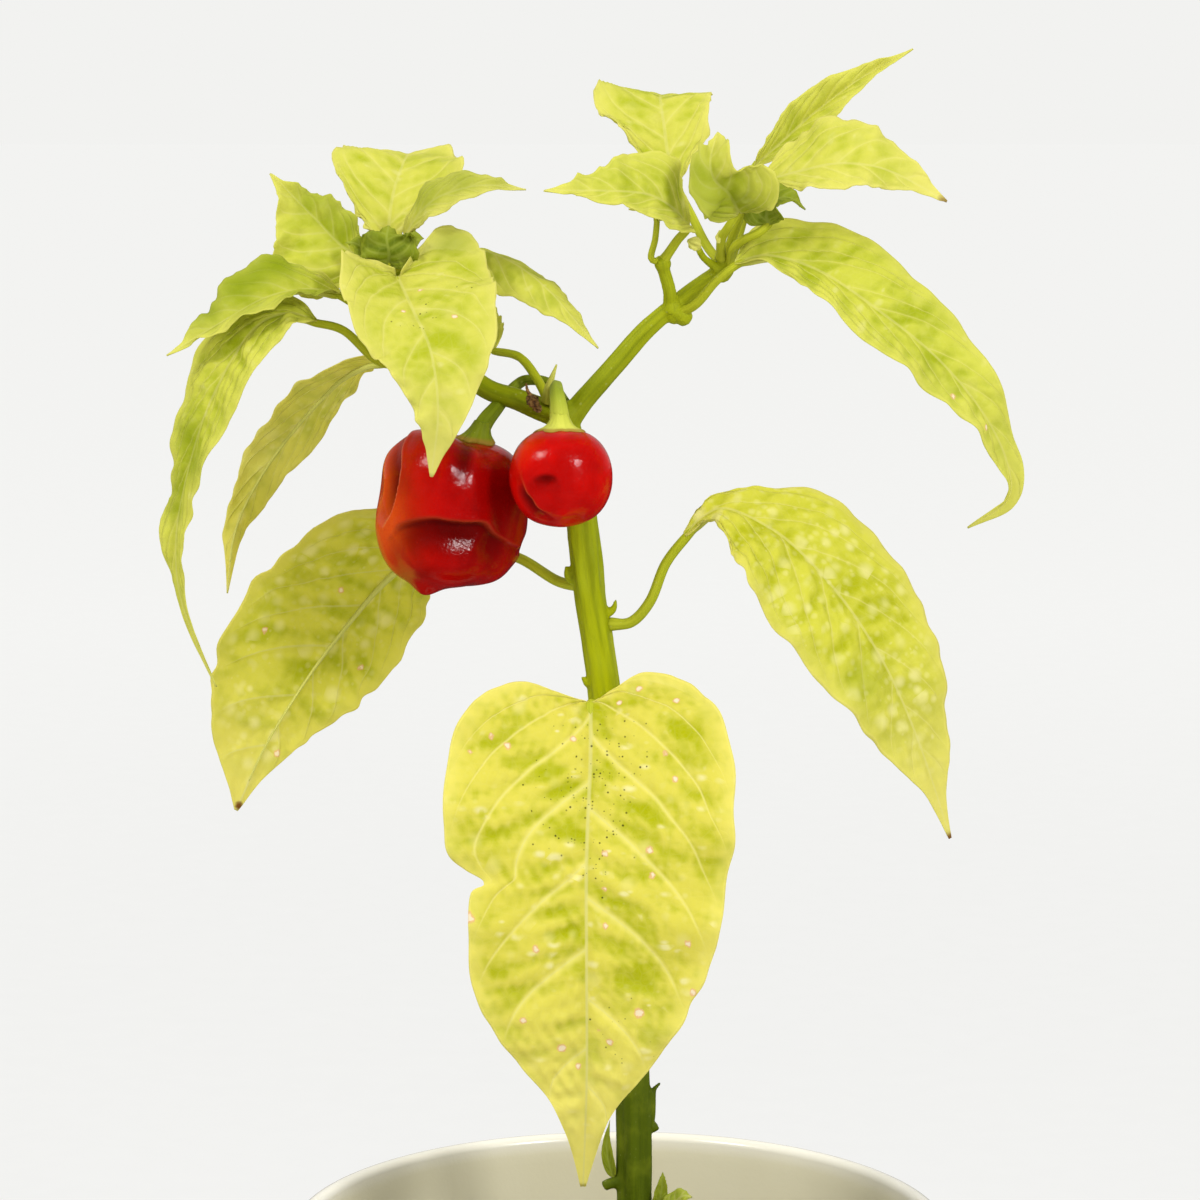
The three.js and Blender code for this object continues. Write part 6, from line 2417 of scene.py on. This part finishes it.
# -------------------------------------------------------------------------- building
BLADES = (
    BladeFinish(
        "low_leaf", deep="#bdc00a", bright="#e3db5a", margin="#f6ed84", blotch="#f2eba0",
        blotch_amount=0.35, glint=0.8, band=0.7, vein_amount=0.7, softness=0.2,
    ),
    BladeFinish(
        "mottled_leaf", deep="#b9bc0c", bright="#d9d74a", blotch="#f1eba4", blotch_amount=0.7,
        blotch_share=0.85, band=0.15, shift=(3.1, 7.7, 0),
    ),
    BladeFinish(
        "turned_leaf", deep="#c0c31a", bright="#e2de5a", blotch="#f0eaa4", blotch_amount=0.75,
        blotch_share=0.85, glow=0.5, band=0.1, vein="#e0dc96", vein_amount=0.7, shift=(9.1, 2.7, 0),
    ),
    BladeFinish(
        "crown_leaf", deep="#acb716", bright="#d3d54e", margin="#e2df6c", blotch_amount=0.12,
        band=0.3, vein_amount=0.36,
    ),
    BladeFinish(
        "sunny_leaf", deep="#bac222", bright="#d8d75a", margin="#e8e27c", blotch_amount=0.12,
        band=0.3, vein_amount=0.36, shift=(5.3, 1.7, 0),
    ),
    BladeFinish(
        "young_leaf", deep="#4a6604", bright="#84980f", margin="#a4ac30", vein="#a9b44a",
        patch="#3f5a04", blotch_amount=0.08, net_amount=0.2, vein_amount=0.6, glint=0.1,
    ),
    BladeFinish(
        "fresh_leaf", deep="#6f9412", bright="#a9bc2c", margin="#c8cf50", blotch_amount=0.05, glint=0.1,
    ),
)
STALK = StalkFinish(
    "green_stalk", ((170, "#71831a"), (300, "#b5b92c"), (390, "#a9ad1c"), (440, "#b9bc2e")), "#8f9a12", 0.5
)
STEM = StalkFinish(
    "ribbed_stem",
    ((120, "#374403"), (205, "#4e5d04"), (250, "#90970a"), (300, "#a8ae04"), (350, "#969e05"),
     (385, "#858e05"), (420, "#a2a812")),
    "#5d6c03", 0.45,
)
DARK_CAP = StalkFinish(
    "large_calyx_green", ((372, "#7d8a12"), (382, "#6f7d14"), (392, "#77841c")), "#58660a", 0.5
)
PALE_CAP = StalkFinish(
    "small_calyx_green", ((378, "#d2d05c"), (383, "#bcc046"), (389, "#8c9a2a")), "#8a9220", 0.4
)
PALE_BUD = StalkFinish("pale_bud", ((384, "#a8ac30"), (395, "#d8d46c")), "#a0a22c", 0.4)
RED = FruitFinish("ripe_red")
BRIGHT_RED = FruitFinish("bright_red", ripe="#a20402", lit="#c00803")
GLAZE = GlazeFinish()
SOIL = CrumbFinish("dark_soil", "#20150d", "#4a3626")
DRY_FLOWER = CrumbFinish("dry_flower", "#4a2c12", "#b98a4c", 1.0, 0.3)


def crumpled(turn: Array, walked: Array) -> Array:
    """Share to add to a radius so that a tube looks crumpled: two sines of the turn."""
    return 0.28 * np.cos(5 * turn + 2 * walked) + 0.18 * np.cos(11 * turn + 5 * walked)


def build_plant(effects: Effects) -> None:
    """Builds stem, leaves and fruits.

    Args:
        effects: The shared node groups.
    """
    skins = {finish.name: finish.build(effects) for finish in BLADES}
    stalk = STALK.build(effects)
    write_piece("stem_detail", [Stem().surface()], [STEM.build(effects)], ["stem"])
    for leaf in SHOOT_LEAVES:
        write_piece(leaf.name, leaf.surfaces(), [skins[leaf.finish], stalk])
    for leaf in LEAVES:
        write_piece(leaf.name + "_detail", leaf.surfaces(), [skins[leaf.finish], stalk], [leaf.name])
    tuft = [surface for leaf in LEFT_TUFT for surface in leaf.surfaces()]
    skin = [skins["young_leaf"], stalk]
    write_piece("leaf_left_tuft_detail", tuft, skin, ["leaf_left_tuft"])
    for fruit, red, green in ((LARGE_FRUIT, RED, DARK_CAP), (SMALL_FRUIT, BRIGHT_RED, PALE_CAP)):
        body, cap = f"fruit_{fruit.name}", f"calyx_{fruit.name}"
        write_piece(body + "_detail", [fruit.body()], [red.build(effects)], [body])
        write_piece(cap + "_detail", fruit.cap(), [green.build(effects)], [cap])
    rests = [
        tube(Path(points), radii, 20, 0.15, crumpled)
        for points, radii in (
            (((-24.3, -4, 387), (-23.5, -4.5, 385.6), (-22.3, -4.2, 384)), (0.6, 1.5, 0.9)),
            (((-22.6, -3.6, 384.2), (-21.8, -3.8, 383.1), (-21.2, -3.6, 382.6)), (0.8, 1.0, 0.5)),
            (((-23.8, -4, 386.6), (-24.7, -4.2, 388.2), (-25.1, -4, 390)), (0.5, 0.35, 0.2)),
        )
    ]
    write_piece("flower_scar_detail", rests, [DRY_FLOWER.build(effects)], ["flower_scar"])
    pale = PALE_BUD.build(effects)
    bud = tube(Path(((-19.5, -1, 385), (-19, -3, 389), (-17, -4, 395))), (1.7, 1.0, 0.25), 16, 0.3,
               lambda t, w: 0.08 * np.cos(4 * t + w / 3))
    write_piece("pale_bud_detail", [bud], [pale], ["pale_bud"])
    stars = [
        tube(Path(points), radii, 30, 0.15, lambda t, w: 0.3 * np.cos(5 * t) * np.minimum(1, w / 2))
        for points, radii in (
            (((20.6, -3.6, 425.6), (19.2, -5, 427), (17.6, -5.6, 427.8)), (0.7, 1.6, 1.5, 0.4)),
            (((26.2, -5.2, 430.2), (25.8, -6.2, 428.6), (25.6, -6.4, 427)), (0.5, 0.9, 0.3)),
        )
    ]
    write_piece("flower_buds", stars, [pale])


def build_pot(effects: Effects) -> None:
    """Builds pot and soil.

    Args:
        effects: The shared node groups.
    """
    pot = Pot()
    write_piece("pot_detail", [pot.body()], [GLAZE.build(effects)], ["pot"])
    write_piece("soil_detail", pot.soil(), [SOIL.build(effects)], ["soil"])


def main() -> None:
    """Builds the studio, the pot and the plant."""
    logging.basicConfig(level=logging.INFO, format="%(name)s: %(message)s")
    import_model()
    Studio().build()
    effects = Effects()
    build_pot(effects)
    build_plant(effects)


if __name__ == "__main__":
    main()
